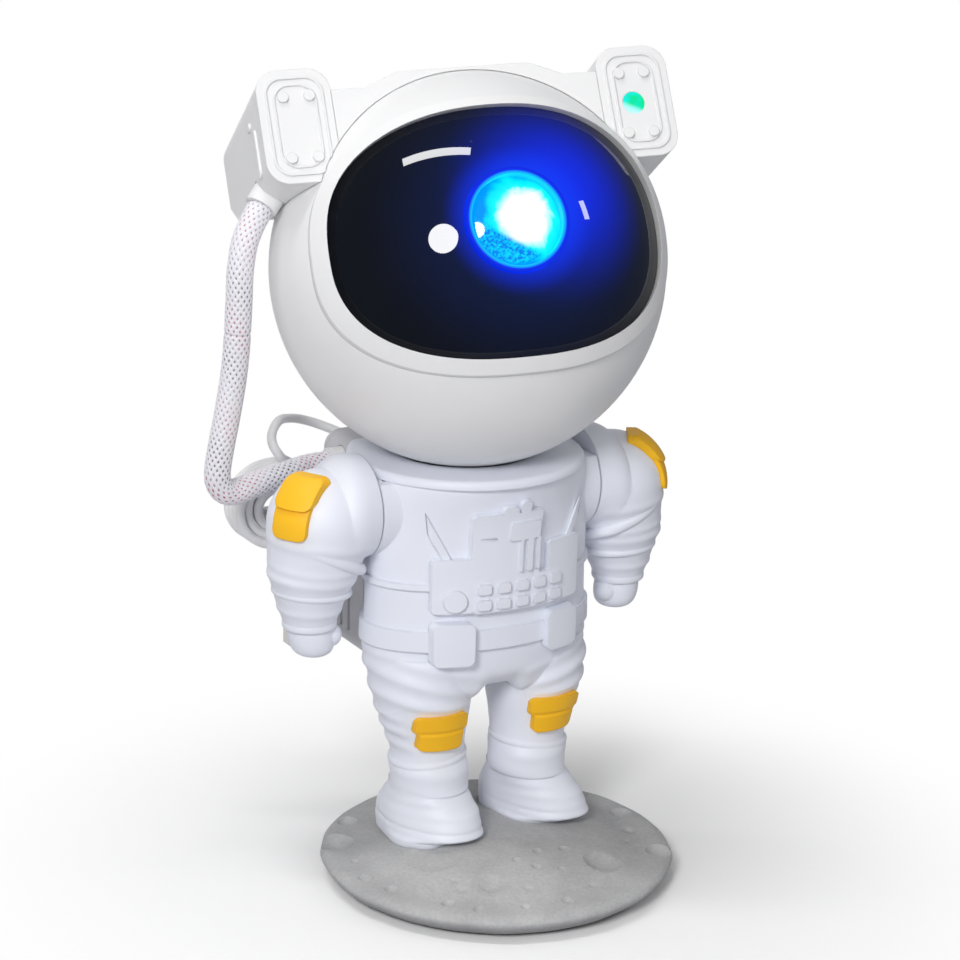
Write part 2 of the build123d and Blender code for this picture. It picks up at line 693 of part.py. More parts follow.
def pack_block(grow, front_y, rear_y, mode=Mode.ADD):
    """A rounded box with the backpack's outline."""
    with BuildSketch(Plane.XZ.offset(-rear_y)) as outline:
        with Locations((0, PACK_MID_Z)):
            RectangleRounded(2 * (PACK_HALF_WIDTH + grow), PACK_HEIGHT + 2 * grow, PACK_CORNER + grow)
    extrude(outline.sketch, amount=rear_y - front_y, mode=mode)


with BuildPart() as backpack_shell:
    pack_block(0, PACK_FRONT_Y, PACK_SHELL_REAR_Y)
    pack_block(-2.0, PACK_FRONT_Y + 2, PACK_SHELL_REAR_Y, Mode.SUBTRACT)
    # the front wall follows the figure's back
    with BuildPart(mode=Mode.PRIVATE) as front_wall:
        torso_form(WALL + SEAT_GAP)
        pack_block(-0.5, PACK_FRONT_Y, PACK_SHELL_REAR_Y, Mode.INTERSECT)
    add(front_wall.part)
    torso_form(SEAT_GAP, mode=Mode.SUBTRACT)
    with BuildSketch(Plane.XZ.offset(-CLAMP_HEAD_Y)):
        with Locations(*CLAMP_PLACES):
            Circle(4.2)
    extrude(amount=7.0)
    torso_form(SEAT_GAP, mode=Mode.SUBTRACT)
    with BuildSketch(Plane.XZ.offset(-CLAMP_HEAD_Y - 1)):
        with Locations(*CLAMP_PLACES):
            Circle(CLAMP_SCREW_R + 0.1)
    extrude(amount=14, mode=Mode.SUBTRACT)
    # room for the neck cup above the body
    with BuildSketch(Plane.XY.offset(BODY_TOP_Z - 1)):
        with Locations((0, BACK_Y + SEAT_GAP)):
            Rectangle(100, 60, align=(Align.CENTER, Align.MAX))
    extrude(amount=10, mode=Mode.SUBTRACT)
    # bosses for the cover
    with BuildSketch(Plane.XZ.offset(-PACK_SHELL_REAR_Y)):
        with Locations(*PACK_SCREWS):
            Circle(3.2)
    extrude(amount=PACK_SHELL_REAR_Y - PACK_FRONT_Y - 0.2)
    torso_form(SEAT_GAP, mode=Mode.SUBTRACT)
    for side in (-1, 1):
        shoulder_stub(side, SHOULDER_R + SEAT_GAP, SHOULDER_FACE_X + 1.0, Mode.SUBTRACT)
    with BuildSketch(Plane.XZ.offset(-PACK_SHELL_REAR_Y)):
        with Locations(*PACK_SCREWS):
            Circle(1.0)
    extrude(amount=8, mode=Mode.SUBTRACT)
    # upright grooves down both sides
    for side in (-1, 1):
        for y in (40.0, 44.5, 49.0):
            with Locations((side * PACK_HALF_WIDTH, y, 83.0)):
                Box(1.2, 1.4, 44.0, mode=Mode.SUBTRACT)
    # the braided sleeve's gland comes in through the right side
    with Locations((-PACK_HALF_WIDTH, SLEEVE_END_Y, SLEEVE_END_Z)):
        Cylinder(GLAND_R + SEAT_GAP, 8.0, rotation=(0, 90, 0), mode=Mode.SUBTRACT)
backpack_shell.part.label = "backpack_shell"
export_step(backpack_shell.part, "parts/backpack_shell.step")

with BuildPart() as backpack_cover:
    with BuildSketch(Plane.XZ.offset(-PACK_REAR_Y)):
        with Locations((0, PACK_MID_Z)):
            RectangleRounded(2 * PACK_HALF_WIDTH, PACK_HEIGHT, PACK_CORNER)
    extrude(amount=PACK_COVER_THICK - 0.05)
    fillet(backpack_cover.faces().sort_by(Axis.Y)[-1].edges(), 1.2)
    with BuildSketch(Plane.XZ.offset(-PACK_REAR_Y)):
        with Locations(*BUTTON_PLACES.values()):
            Circle(BUTTON_R + 0.2)
        with Locations(*PACK_SCREWS):
            Circle(1.3)
    extrude(amount=PACK_COVER_THICK, mode=Mode.SUBTRACT)
    with BuildSketch(Plane.XZ.offset(-PACK_REAR_Y)):
        with Locations(*PACK_SCREWS):
            Circle(2.6)
        with Locations((0, 70.0)):
            SlotOverall(28.0, 4.0)
    extrude(amount=1.2, mode=Mode.SUBTRACT)
    with BuildSketch(Plane.XZ.offset(-PACK_REAR_Y)):
        with Locations(USB_GLAND_PLACE):
            Circle(2.3)
    extrude(amount=PACK_COVER_THICK, mode=Mode.SUBTRACT)
backpack_cover.part.label = "backpack_cover"
export_step(backpack_cover.part, "parts/backpack_cover.step")

with BuildPart() as backpack_screws:
    with BuildSketch(Plane.XZ.offset(-PACK_REAR_Y + 1.15)):
        with Locations(*PACK_SCREWS):
            Circle(2.4)
    extrude(amount=-1.0)
    with BuildSketch(Plane.XZ.offset(-PACK_REAR_Y + 1.15)):
        with Locations(*PACK_SCREWS):
            Circle(0.95)
    extrude(amount=8.0)
backpack_screws.part.label = "backpack_screws"
export_step(backpack_screws.part, "parts/backpack_screws.step")

with BuildPart() as body_screws:
    with BuildSketch(Plane.XZ.offset(-CLAMP_HEAD_Y - 0.05)):
        with Locations(*CLAMP_PLACES):
            Circle(2.4)
    extrude(amount=-1.5)
    with BuildSketch(Plane.XZ.offset(-CLAMP_HEAD_Y - 0.05)):
        with Locations(*CLAMP_PLACES):
            Circle(CLAMP_SCREW_R)
    extrude(amount=31.0)
body_screws.part.label = "body_screws"
export_step(body_screws.part, "parts/body_screws.step")

BOARD_Y = 46.4
BOARD_THICK = 1.6
with BuildPart() as control_board:
    with BuildSketch(Plane.XZ.offset(-BOARD_Y - BOARD_THICK)):
        with Locations((0, 86.0)):
            RectangleRounded(34.0, 32.0, 1.5)
    extrude(amount=BOARD_THICK)
    # components on the front
    with Locations((0, BOARD_Y - 0.6, 92.0)):
        Box(9.0, 1.4, 9.0)
    with Locations((-9.0, BOARD_Y - 1.0, 78.0), (9.0, BOARD_Y - 1.0, 78.0)):
        Box(5.0, 2.2, 4.0)
    # board posts that stand on the backpack's cover
    with BuildSketch(Plane.XZ.offset(-PACK_SHELL_REAR_Y + 0.05)):
        with Locations((-14.5, 73.0), (14.5, 73.0), (0, 99.5)):
            Circle(1.8)
    extrude(amount=PACK_SHELL_REAR_Y - 0.05 - BOARD_Y - BOARD_THICK)
control_board.part.label = "control_board"
export_step(control_board.part, "parts/control_board.step")

FLANGE_FRONT_Y = PACK_SHELL_REAR_Y - 0.1 - 1.2
with BuildPart() as button_switches:
    with BuildSketch(Plane.XZ.offset(-BOARD_Y - BOARD_THICK - 3.6)):
        with Locations(*BUTTON_PLACES.values()):
            RectangleRounded(6.0, 6.0, 0.6)
    extrude(amount=3.55)
button_switches.part.label = "button_switches"
export_step(button_switches.part, "parts/button_switches.step")
print("switch rear face", BOARD_Y + BOARD_THICK + 3.6, "button flange", FLANGE_FRONT_Y)


def build_button(place):
    """A push button whose flange is held behind the backpack's cover."""
    with BuildPart() as button:
        with BuildSketch(Plane.XZ.offset(-PACK_REAR_Y - 1.2)) as cap:
            with Locations(place):
                Circle(BUTTON_R)
        extrude(cap.sketch, amount=PACK_REAR_Y + 1.2 - FLANGE_FRONT_Y)
        fillet(button.edges().filter_by(GeomType.CIRCLE).sort_by(Axis.Y)[-1], 0.6)
        with BuildSketch(Plane.XZ.offset(-FLANGE_FRONT_Y - 1.2)) as flange:
            with Locations(place):
                Circle(BUTTON_R + 1.2)
        extrude(flange.sketch, amount=1.2)
        with BuildSketch(Plane.XZ.offset(-FLANGE_FRONT_Y)) as stem:
            with Locations(place):
                Circle(1.6)
        extrude(stem.sketch, amount=FLANGE_FRONT_Y - (BOARD_Y + BOARD_THICK + 3.6) - BUTTON_TRAVEL - 0.05)
    return button.part


with BuildPart() as power_button:
    add(build_button(BUTTON_PLACES["power_button"]))
power_button.part.label = "power_button"
export_step(power_button.part, "parts/power_button.step")

with BuildPart() as nebula_button:
    add(build_button(BUTTON_PLACES["nebula_button"]))
nebula_button.part.label = "nebula_button"
export_step(nebula_button.part, "parts/nebula_button.step")

with BuildPart() as star_button:
    add(build_button(BUTTON_PLACES["star_button"]))
star_button.part.label = "star_button"
export_step(star_button.part, "parts/star_button.step")

with BuildPart() as brightness_button:
    add(build_button(BUTTON_PLACES["brightness_button"]))
brightness_button.part.label = "brightness_button"
export_step(brightness_button.part, "parts/brightness_button.step")


# ------------------------------------------------------------------ cords
def cord_line(points, name):
    """Straight runs joined by arcs that use just under half of the shorter run beside them."""
    radii = []
    for before, corner, after in zip(points, points[1:], points[2:]):
        first = Vector(*corner) - Vector(*before)
        second = Vector(*after) - Vector(*corner)
        half_turn = math.radians(first.get_angle(second)) / 2
        radii.append(0.45 * min(first.length, second.length) / math.tan(half_turn))
    print(name, "bend radii", [round(radius, 1) for radius in radii])
    with BuildLine(mode=Mode.PRIVATE) as line:
        FilletPolyline(*points, radius=radii)
    return line.wires()[0]


def cord_part(points, diameter, name):
    """A round cord along the points."""
    wire = cord_line(points, name)
    with BuildPart() as cord:
        with BuildSketch(Plane(origin=wire @ 0, z_dir=wire % 0)) as section:
            Circle(diameter / 2)
        sweep(section.sketch, path=wire)
    return cord.part


def gland_part(end, towards, inside, radius, bore):
    """A short collar that grips a cord's end and passes through a wall."""
    axis = (Vector(*end) - Vector(*towards)).normalized()
    with BuildPart() as gland:
        with BuildSketch(Plane(origin=Vector(*end), z_dir=axis)) as collar:
            Circle(radius)
        extrude(collar.sketch, amount=inside)
        with BuildSketch(Plane(origin=Vector(*end) + axis * 1.6, z_dir=axis)) as hole:
            Circle(bore)
        extrude(hole.sketch, amount=inside, mode=Mode.SUBTRACT)
    return gland.part


with BuildPart() as braided_sleeve_upper:
    add(cord_part(SLEEVE_UPPER, SLEEVE_D, "braided_sleeve_upper"))
braided_sleeve_upper.part.label = "braided_sleeve_upper"
export_step(braided_sleeve_upper.part, "parts/braided_sleeve_upper.step")

with BuildPart() as braided_sleeve_lower:
    add(cord_part(SLEEVE_LOWER, SLEEVE_D, "braided_sleeve_lower"))
braided_sleeve_lower.part.label = "braided_sleeve_lower"
export_step(braided_sleeve_lower.part, "parts/braided_sleeve_lower.step")

with BuildPart() as sleeve_gland_upper:
    add(gland_part(SLEEVE_UPPER[0], SLEEVE_UPPER[1], 6.0, GLAND_R, 2.4))
sleeve_gland_upper.part.label = "sleeve_gland_upper"
export_step(sleeve_gland_upper.part, "parts/sleeve_gland_upper.step")

with BuildPart() as sleeve_gland_lower:
    with BuildSketch(Plane.YZ.offset(SLEEVE_END_X)) as lower_collar:
        with Locations((SLEEVE_END_Y, SLEEVE_END_Z)):
            Circle(GLAND_R)
            Circle(2.4, mode=Mode.SUBTRACT)
    extrude(amount=5.8)
sleeve_gland_lower.part.label = "sleeve_gland_lower"
export_step(sleeve_gland_lower.part, "parts/sleeve_gland_lower.step")

with BuildPart() as usb_gland:
    with BuildSketch(Plane.XZ.offset(-PACK_REAR_Y + 5.0)) as usb_collar:
        with Locations(USB_GLAND_PLACE):
            Circle(2.15)
    extrude(usb_collar.sketch, amount=-7.0)
    with BuildSketch(Plane.XZ.offset(-PACK_REAR_Y + 5.0)) as usb_flange:
        with Locations(USB_GLAND_PLACE):
            Circle(3.2)
    extrude(usb_flange.sketch, amount=-1.8)
usb_gland.part.label = "usb_gland"
export_step(usb_gland.part, "parts/usb_gland.step")

with BuildPart() as usb_lead:
    add(cord_part(((USB_GLAND_PLACE[0], PACK_REAR_Y + 2.0, USB_GLAND_PLACE[1]),) + LEAD_ROUTE, CORD_D, "usb_lead"))
usb_lead.part.label = "usb_lead"
export_step(usb_lead.part, "parts/usb_lead.step")

coil_x, coil_y, coil_z = COIL_CENTRE
with BuildPart() as usb_coil:
    with BuildSketch(Plane.XZ.offset(-coil_y - COIL_HALF_DEPTH)):
        with Locations((coil_x, coil_z)):
            Ellipse(*COIL_OUTER)
            Ellipse(*COIL_EYE, mode=Mode.SUBTRACT)
    extrude(amount=2 * COIL_HALF_DEPTH)
    fillet(usb_coil.edges().group_by(SortBy.LENGTH)[-1], 3.2)
    fillet(usb_coil.edges().filter_by(lambda e: e.length < 30).group_by(SortBy.LENGTH)[-1], 1.2)
usb_coil.part.label = "usb_coil"
export_step(usb_coil.part, "parts/usb_coil.step")

with BuildPart() as cord_tie:
    with BuildSketch(Plane.YZ.offset(coil_x - 1.5)):
        with Locations((coil_y, coil_z - (COIL_OUTER[1] + COIL_EYE[1]) / 2)):
            RectangleRounded(2 * COIL_HALF_DEPTH + 2.0, COIL_OUTER[1] - COIL_EYE[1] + 2.0, 3.0)
            RectangleRounded(2 * COIL_HALF_DEPTH + 0.3, COIL_OUTER[1] - COIL_EYE[1] + 0.3, 1.0, mode=Mode.SUBTRACT)
    extrude(amount=3.0)
cord_tie.part.label = "cord_tie"
export_step(cord_tie.part, "parts/cord_tie.step")

TAIL = ((-33.5, 56.0, 87.2), (-33.5, 56.0, 80.2))
TAIL_RUN = Vector(*TAIL[1]) - Vector(*TAIL[0])
with BuildPart() as usb_tail:
    with BuildSketch(Plane(origin=TAIL[0], z_dir=TAIL_RUN)):
        Circle(CORD_D / 2)
    extrude(amount=TAIL_RUN.length)
usb_tail.part.label = "usb_tail"
export_step(usb_tail.part, "parts/usb_tail.step")

PLUG_X, PLUG_Y, PLUG_TOP_Z = TAIL[1]
with BuildPart() as usb_plug:
    with BuildSketch(Plane.XY.offset(PLUG_TOP_Z)) as collar_top:
        with Locations((PLUG_X, PLUG_Y)):
            Circle(2.2)
    with BuildSketch(Plane.XY.offset(PLUG_TOP_Z - 4.0)) as collar_low:
        with Locations((PLUG_X, PLUG_Y)):
            Circle(2.6)
    loft([collar_top.sketch, collar_low.sketch])
    with BuildSketch(Plane.XY.offset(PLUG_TOP_Z - 3.6)) as grip:
        with Locations((PLUG_X, PLUG_Y)):
            RectangleRounded(6.6, 14.0, 1.6)
    extrude(grip.sketch, amount=-13.6)
usb_plug.part.label = "usb_plug"
export_step(usb_plug.part, "parts/usb_plug.step")

with BuildPart() as usb_plug_shell:
    with BuildSketch(Plane.XY.offset(PLUG_TOP_Z - 17.25)):
        with Locations((PLUG_X, PLUG_Y)):
            RectangleRounded(4.5, 12.0, 0.5)
    extrude(amount=-11.0)
    with BuildSketch(Plane.XY.offset(PLUG_TOP_Z - 28.25)):
        with Locations((PLUG_X + 0.9, PLUG_Y)):
            Rectangle(1.9, 11.2)
    extrude(amount=8.5, mode=Mode.SUBTRACT)
usb_plug_shell.part.label = "usb_plug_shell"
export_step(usb_plug_shell.part, "parts/usb_plug_shell.step")

# ------------------------------------------------------------------ head: frame and outlines
_yaw, _pitch, _roll = (math.radians(a) for a in (HEAD_YAW, HEAD_PITCH, HEAD_ROLL))
HEAD_CENTRE = Vector(HEAD_X, HEAD_Y, HEAD_Z)
FORWARD = Vector(
    -math.sin(_yaw) * math.cos(_pitch), -math.cos(_yaw) * math.cos(_pitch), math.sin(_pitch)
)
LEVEL = Vector(math.cos(_yaw), -math.sin(_yaw), 0)
SIDEWAYS = LEVEL * math.cos(_roll) + FORWARD.cross(LEVEL) * math.sin(_roll)
# local x to the figure's left, local y up, local z forward
HEAD = Plane(origin=HEAD_CENTRE, x_dir=SIDEWAYS, z_dir=FORWARD)
UPWARD = HEAD.y_dir
_drop = math.radians(LENS_DROP)
OPTIC = Plane(
    origin=HEAD_CENTRE,
    x_dir=SIDEWAYS,
    z_dir=FORWARD * math.cos(_drop) - UPWARD * math.sin(_drop),
)
SHELL_IN_R = HEAD_R - HEAD_WALL
VISOR_OUT_R = HEAD_R - VISOR_SINK
VISOR_IN_R = VISOR_OUT_R - VISOR_THICK
FLANGE_OUT_R = SHELL_IN_R - 0.1
FLANGE_IN_R = FLANGE_OUT_R - 1.5


def head_sphere(radius, mode=Mode.ADD):
    """A ball about the head's centre."""
    with Locations(HEAD_CENTRE):
        Sphere(radius, mode=mode)


def visor_prism(grow, mode):
    """Everything in front of the head's middle that lies inside the visor's outline."""
    middle = (VISOR_TOP - VISOR_BOTTOM) / 2
    half_height = (VISOR_TOP + VISOR_BOTTOM) / 2
    points = []
    for step in range(40):
        angle = 2 * math.pi * step / 40
        power = 2 / (2.59 if math.sin(angle) > 0 else 2.25)
        across = math.copysign(abs(math.cos(angle)) ** power, math.cos(angle))
        rise = math.copysign(abs(math.sin(angle)) ** power, math.sin(angle))
        slope_x = math.copysign(abs(across) ** (2 / power - 1), across) / VISOR_HALF_WIDTH
        slope_y = math.copysign(abs(rise) ** (2 / power - 1), rise) / half_height
        steep = math.hypot(slope_x, slope_y)
        points.append(
            (
                VISOR_HALF_WIDTH * across + grow * slope_x / steep,
                middle + half_height * rise + grow * slope_y / steep,
            )
        )
    with BuildSketch(HEAD) as outline:
        with BuildLine():
            Spline(*points, periodic=True)
        make_face()
    extrude(outline.sketch, amount=70, mode=mode)


def optic_cylinder(x, y, start, end, radius, mode=Mode.ADD):
    """A cylinder along the optical axis from start to end."""
    with BuildSketch(OPTIC.offset(start)) as disc:
        with Locations((x, y)):
            Circle(radius)
    extrude(disc.sketch, amount=end - start, mode=mode)


# ------------------------------------------------------------------ head: shells
HEAD_SCREWS = ((-35.0, -33.0), (35.0, -33.0), (-30.0, 34.0), (30.0, 34.0))
CHASSIS_FEET = ((0.0, -43.5), (-16.0, 40.0), (16.0, 40.0))

with BuildPart() as head_ball:
    head_sphere(HEAD_R)
    head_sphere(SHELL_IN_R, Mode.SUBTRACT)
    # wire passages into the two ear housings
    for side in (-1, 1):
        with BuildSketch(Plane(origin=HEAD.from_local_coords((side * 30, 34, 4)), x_dir=FORWARD, z_dir=SIDEWAYS)) as way:
            Circle(3.0)
        extrude(way.sketch, amount=side * 26, mode=Mode.SUBTRACT)

with BuildPart() as head_front_shell:
    add(head_ball.part)
    split(bisect_by=HEAD.offset(HEAD_SPLIT), keep=Keep.TOP)
    visor_prism(1.8, Mode.SUBTRACT)
    with BuildPart(mode=Mode.PRIVATE) as front_bosses:
        with BuildSketch(HEAD.offset(HEAD_SPLIT)):
            with Locations(*HEAD_SCREWS):
                Circle(3.2)
        extrude(amount=26)
        with BuildSketch(OPTIC.offset(11.6)):
            with Locations(*CHASSIS_FEET):
                Circle(3.6)
        extrude(amount=20)
        head_sphere(SHELL_IN_R + 0.4, Mode.INTERSECT)
    add(front_bosses.part)
    with BuildSketch(HEAD.offset(HEAD_SPLIT)):
        with Locations(*HEAD_SCREWS):
            Circle(1.0)
    extrude(amount=12, mode=Mode.SUBTRACT)
    with BuildSketch(OPTIC.offset(11.6)):
        with Locations(*CHASSIS_FEET):
            Circle(0.8)
    extrude(amount=9, mode=Mode.SUBTRACT)
head_front_shell.part.label = "head_front_shell"
export_step(head_front_shell.part, "parts/head_front_shell.step")

with BuildPart() as head_rear_shell:
    add(head_ball.part)
    split(bisect_by=HEAD.offset(HEAD_SPLIT), keep=Keep.BOTTOM)
    with BuildPart(mode=Mode.PRIVATE) as rear_bosses:
        with BuildSketch(HEAD.offset(HEAD_SPLIT)):
            with Locations(*HEAD_SCREWS):
                Circle(3.6)
        extrude(amount=-26)
        head_sphere(SHELL_IN_R + 0.4, Mode.INTERSECT)
    add(rear_bosses.part)
    with BuildSketch(HEAD.offset(HEAD_SPLIT)):
        with Locations(*HEAD_SCREWS):
            Circle(1.15)
    extrude(amount=-8, mode=Mode.SUBTRACT)
    with BuildSketch(HEAD.offset(HEAD_SPLIT - 5.0)):
        with Locations(*HEAD_SCREWS):
            Circle(2.4)
    extrude(amount=-40, mode=Mode.SUBTRACT)
head_rear_shell.part.label = "head_rear_shell"
export_step(head_rear_shell.part, "parts/head_rear_shell.step")

with BuildPart() as head_screws:
    with BuildSketch(HEAD.offset(HEAD_SPLIT - 5.05)):
        with Locations(*HEAD_SCREWS):
            Circle(2.1)
    extrude(amount=-1.6)
    with BuildSketch(HEAD.offset(HEAD_SPLIT - 5.05)):
        with Locations(*HEAD_SCREWS):
            Circle(0.95)
    extrude(amount=14)
head_screws.part.label = "head_screws"
export_step(head_screws.part, "parts/head_screws.step")

with BuildPart() as head_steel_strap:
    head_sphere(SHELL_IN_R - 0.15)
    head_sphere(SHELL_IN_R - 1.65, Mode.SUBTRACT)
    with BuildSketch(Plane(origin=HEAD_CENTRE, x_dir=LEVEL, z_dir=(0, 0, -1))):
        RectangleRounded(22.0, 40.0, 6.0)
    extrude(amount=60, mode=Mode.INTERSECT)
head_steel_strap.part.label = "head_steel_strap"
export_step(head_steel_strap.part, "parts/head_steel_strap.step")

# ------------------------------------------------------------------ head: visor and its bezel
with BuildPart() as visor:
    head_sphere(VISOR_OUT_R)
    visor_prism(-0.12, Mode.INTERSECT)
    with BuildPart(mode=Mode.PRIVATE) as visor_flange:
        head_sphere(FLANGE_OUT_R)
        visor_prism(3.2, Mode.INTERSECT)
    add(visor_flange.part)
    head_sphere(FLANGE_IN_R, Mode.SUBTRACT)
    optic_cylinder(0, 0, 20, 70, LENS_RING_R + 0.1, Mode.SUBTRACT)
visor.part.label = "visor"
export_step(visor.part, "parts/visor.step")

with BuildPart() as visor_bezel:
    head_sphere(HEAD_R + BEZEL_RAISE)
    visor_prism(BEZEL_WIDTH, Mode.INTERSECT)
    head_sphere(HEAD_R + 0.05, Mode.SUBTRACT)
    with BuildPart(mode=Mode.PRIVATE) as bezel_leg:
        head_sphere(HEAD_R + 0.4)
        visor_prism(1.65, Mode.INTERSECT)
        head_sphere(FLANGE_OUT_R + 0.1, Mode.SUBTRACT)
    add(bezel_leg.part)
    visor_prism(0, Mode.SUBTRACT)
visor_bezel.part.label = "visor_bezel"
export_step(visor_bezel.part, "parts/visor_bezel.step")

# ------------------------------------------------------------------ head: ears and crest
EAR_MID = ((EAR_X[0] + EAR_X[1]) / 2, (EAR_UP[0] + EAR_UP[1]) / 2)
EAR_SIZE = (EAR_X[1] - EAR_X[0], EAR_UP[1] - EAR_UP[0])
EAR_PLATE_BACK = EAR_FRONT - EAR_PLATE_THICK


def ear_prism(side, front, back, inset, mode):
    """The ear housing's rounded outline between two depths."""
    with BuildSketch(HEAD.offset(back)) as outline:
        with Locations((side * EAR_MID[0], EAR_MID[1])):
            RectangleRounded(EAR_SIZE[0] - 2 * inset, EAR_SIZE[1] - 2 * inset, EAR_CORNER - inset)
    extrude(outline.sketch, amount=front - back, mode=mode)


def ear_side_cut(inset, mode):
    """The ear housing's side view, extruded through both ears."""
    with BuildSketch(Plane(origin=HEAD.from_local_coords((70, 0, 0)), x_dir=FORWARD, z_dir=-SIDEWAYS)) as side_view:
        with BuildLine():
            Polyline(
                (EAR_FRONT, EAR_UP[0] - 2 + inset),
                (4.0, EAR_UP[0] - 1.4 + inset),
                (-17.8, 23.3 + inset),
                (EAR_REAR + inset, 30.3 + inset),
                (EAR_REAR + inset, EAR_UP[1] + 2 - inset),
                (EAR_FRONT, EAR_UP[1] + 2 - inset),
                close=True,
            )
        make_face()
    extrude(side_view.sketch, amount=140, mode=mode)


def build_ear_housing(side):
    """The box behind one ear plate, open towards the head."""
    with BuildPart() as housing:
        ear_prism(side, EAR_PLATE_BACK - 0.05, EAR_REAR, 0, Mode.ADD)
        ear_side_cut(0, Mode.INTERSECT)
        # raised oval and shallow grooves on the outer side
        outside = HEAD.from_local_coords((side * EAR_X[1], 0, 0))
        with BuildSketch(Plane(origin=outside, x_dir=FORWARD, z_dir=-SIDEWAYS)) as marks:
            with Locations(Location((17.6, 30.2, 0), (0, 0, 90))):
                SlotOverall(13.2, 3.4)
            with Locations((12.5, 39.3)):
                Ellipse(1.7, 1.2)
        extrude(marks.sketch, amount=-side * 0.6)
        with BuildPart(mode=Mode.PRIVATE) as pocket:
            ear_prism(side, EAR_FRONT, EAR_REAR + WALL, WALL, Mode.ADD)
            ear_side_cut(WALL, Mode.INTERSECT)
        add(pocket.part, mode=Mode.SUBTRACT)
        head_sphere(HEAD_R + SEAT_GAP, Mode.SUBTRACT)
    return housing


def build_ear_plate(side, window):
    """The front plate of one ear, with raised lines and round studs."""
    with BuildPart() as plate:
        ear_prism(side, EAR_FRONT, EAR_PLATE_BACK, 0, Mode.ADD)
        with BuildSketch(HEAD.offset(EAR_FRONT)) as lines:
            for outer, inner in ((2.0, 2.7), (4.0, 4.6)):
                with Locations((side * EAR_MID[0], EAR_MID[1])):
                    RectangleRounded(EAR_SIZE[0] - 2 * outer, EAR_SIZE[1] - 2 * outer, 4.6)
                    RectangleRounded(EAR_SIZE[0] - 2 * inner, EAR_SIZE[1] - 2 * inner, 4.0, mode=Mode.SUBTRACT)
        extrude(lines.sketch, amount=0.35)
        with BuildSketch(HEAD.offset(EAR_FRONT)) as studs:
            with Locations((side * 42.1, 25.6), (side * 49.1, 25.6), (side * 42.1, 42.2), (side * 49.1, 42.2)):
                Circle(1.5)
        extrude(studs.sketch, amount=0.8)
        if window:
            with BuildSketch(HEAD.offset(10.0)) as holder:
                with Locations((LASER_X, LASER_UP)):
                    Circle(4.8)
            extrude(holder.sketch, amount=EAR_PLATE_BACK - 10.0 + 0.4)
            with BuildSketch(HEAD.offset(0)) as bore:
                with Locations((LASER_X, LASER_UP)):
                    Circle(LASER_R + 0.05)
            extrude(bore.sketch, amount=40, mode=Mode.SUBTRACT)
        head_sphere(HEAD_R + SEAT_GAP, Mode.SUBTRACT)
    return plate.part


with BuildPart() as ear_right_housing:
    add(build_ear_housing(-1).part)
    # seat for the braided sleeve's gland
    gland_axis = Vector(*SLEEVE_UPPER[0]) - Vector(*SLEEVE_UPPER[1])
    with BuildSketch(Plane(origin=Vector(*SLEEVE_UPPER[0]), z_dir=gland_axis)):
        Circle(GLAND_R + SEAT_GAP)
    extrude(amount=8, mode=Mode.SUBTRACT)
ear_right_housing.part.label = "ear_right_housing"
export_step(ear_right_housing.part, "parts/ear_right_housing.step")

with BuildPart() as ear_left_housing:
    add(build_ear_housing(1).part)
ear_left_housing.part.label = "ear_left_housing"
export_step(ear_left_housing.part, "parts/ear_left_housing.step")

with BuildPart() as ear_right_plate:
    add(build_ear_plate(-1, False))
ear_right_plate.part.label = "ear_right_plate"
export_step(ear_right_plate.part, "parts/ear_right_plate.step")

with BuildPart() as ear_left_plate:
    add(build_ear_plate(1, True))
ear_left_plate.part.label = "ear_left_plate"
export_step(ear_left_plate.part, "parts/ear_left_plate.step")

with BuildPart() as head_crest:
    with BuildSketch(HEAD.offset(4.0)):
        with BuildLine():
            Polyline(
                (-EAR_X[0] + 0.1, 28.0),
                (-EAR_X[0] + 0.1, CREST_UP[0]),
                (-27.0, CREST_UP[0]),
                (-18.0, CREST_UP[1]),
                (18.0, CREST_UP[1]),
                (27.0, CREST_UP[0]),
                (EAR_X[0] - 0.1, CREST_UP[0]),
                (EAR_X[0] - 0.1, 28.0),
                close=True,
            )
        make_face()
    extrude(amount=EAR_FRONT - 4.0)
    with BuildSketch(Plane(origin=HEAD.from_local_coords((70, 0, 0)), x_dir=FORWARD, z_dir=-SIDEWAYS)):
        with BuildLine():
            Polyline((4.0, 30.0), (10.0, 36.0), (22.0, 46.4), (24.6, 60.0), (30.0, 60.0), (30.0, 20.0), (4.0, 20.0), close=True)
        make_face()
    extrude(amount=140, mode=Mode.INTERSECT)
    head_sphere(HEAD_R + SEAT_GAP, Mode.SUBTRACT)
head_crest.part.label = "head_crest"
export_step(head_crest.part, "parts/head_crest.step")

# ------------------------------------------------------------------ head: laser
with BuildPart() as laser_module:
    with BuildSketch(HEAD.offset(6.0)):
        with Locations((LASER_X, LASER_UP)):
            Circle(LASER_R)
    extrude(amount=15.0)
laser_module.part.label = "laser_module"
export_step(laser_module.part, "parts/laser_module.step")

with BuildPart() as laser_window:
    with BuildSketch(HEAD.offset(EAR_FRONT - 1.5)):
        with Locations((LASER_X, LASER_UP)):
            Circle(LASER_R)
    extrude(amount=1.3)
laser_window.part.label = "laser_window"
export_step(laser_window.part, "parts/laser_window.step")

# ------------------------------------------------------------------ head: nebula projector
POSTS = ((-23.0, 2.0), (23.0, 2.0), (-13.0, -19.0), (13.0, -19.0))
MOTOR_UP = 17.0
MOTOR_R = 5.6
SHAFT_R = 1.0

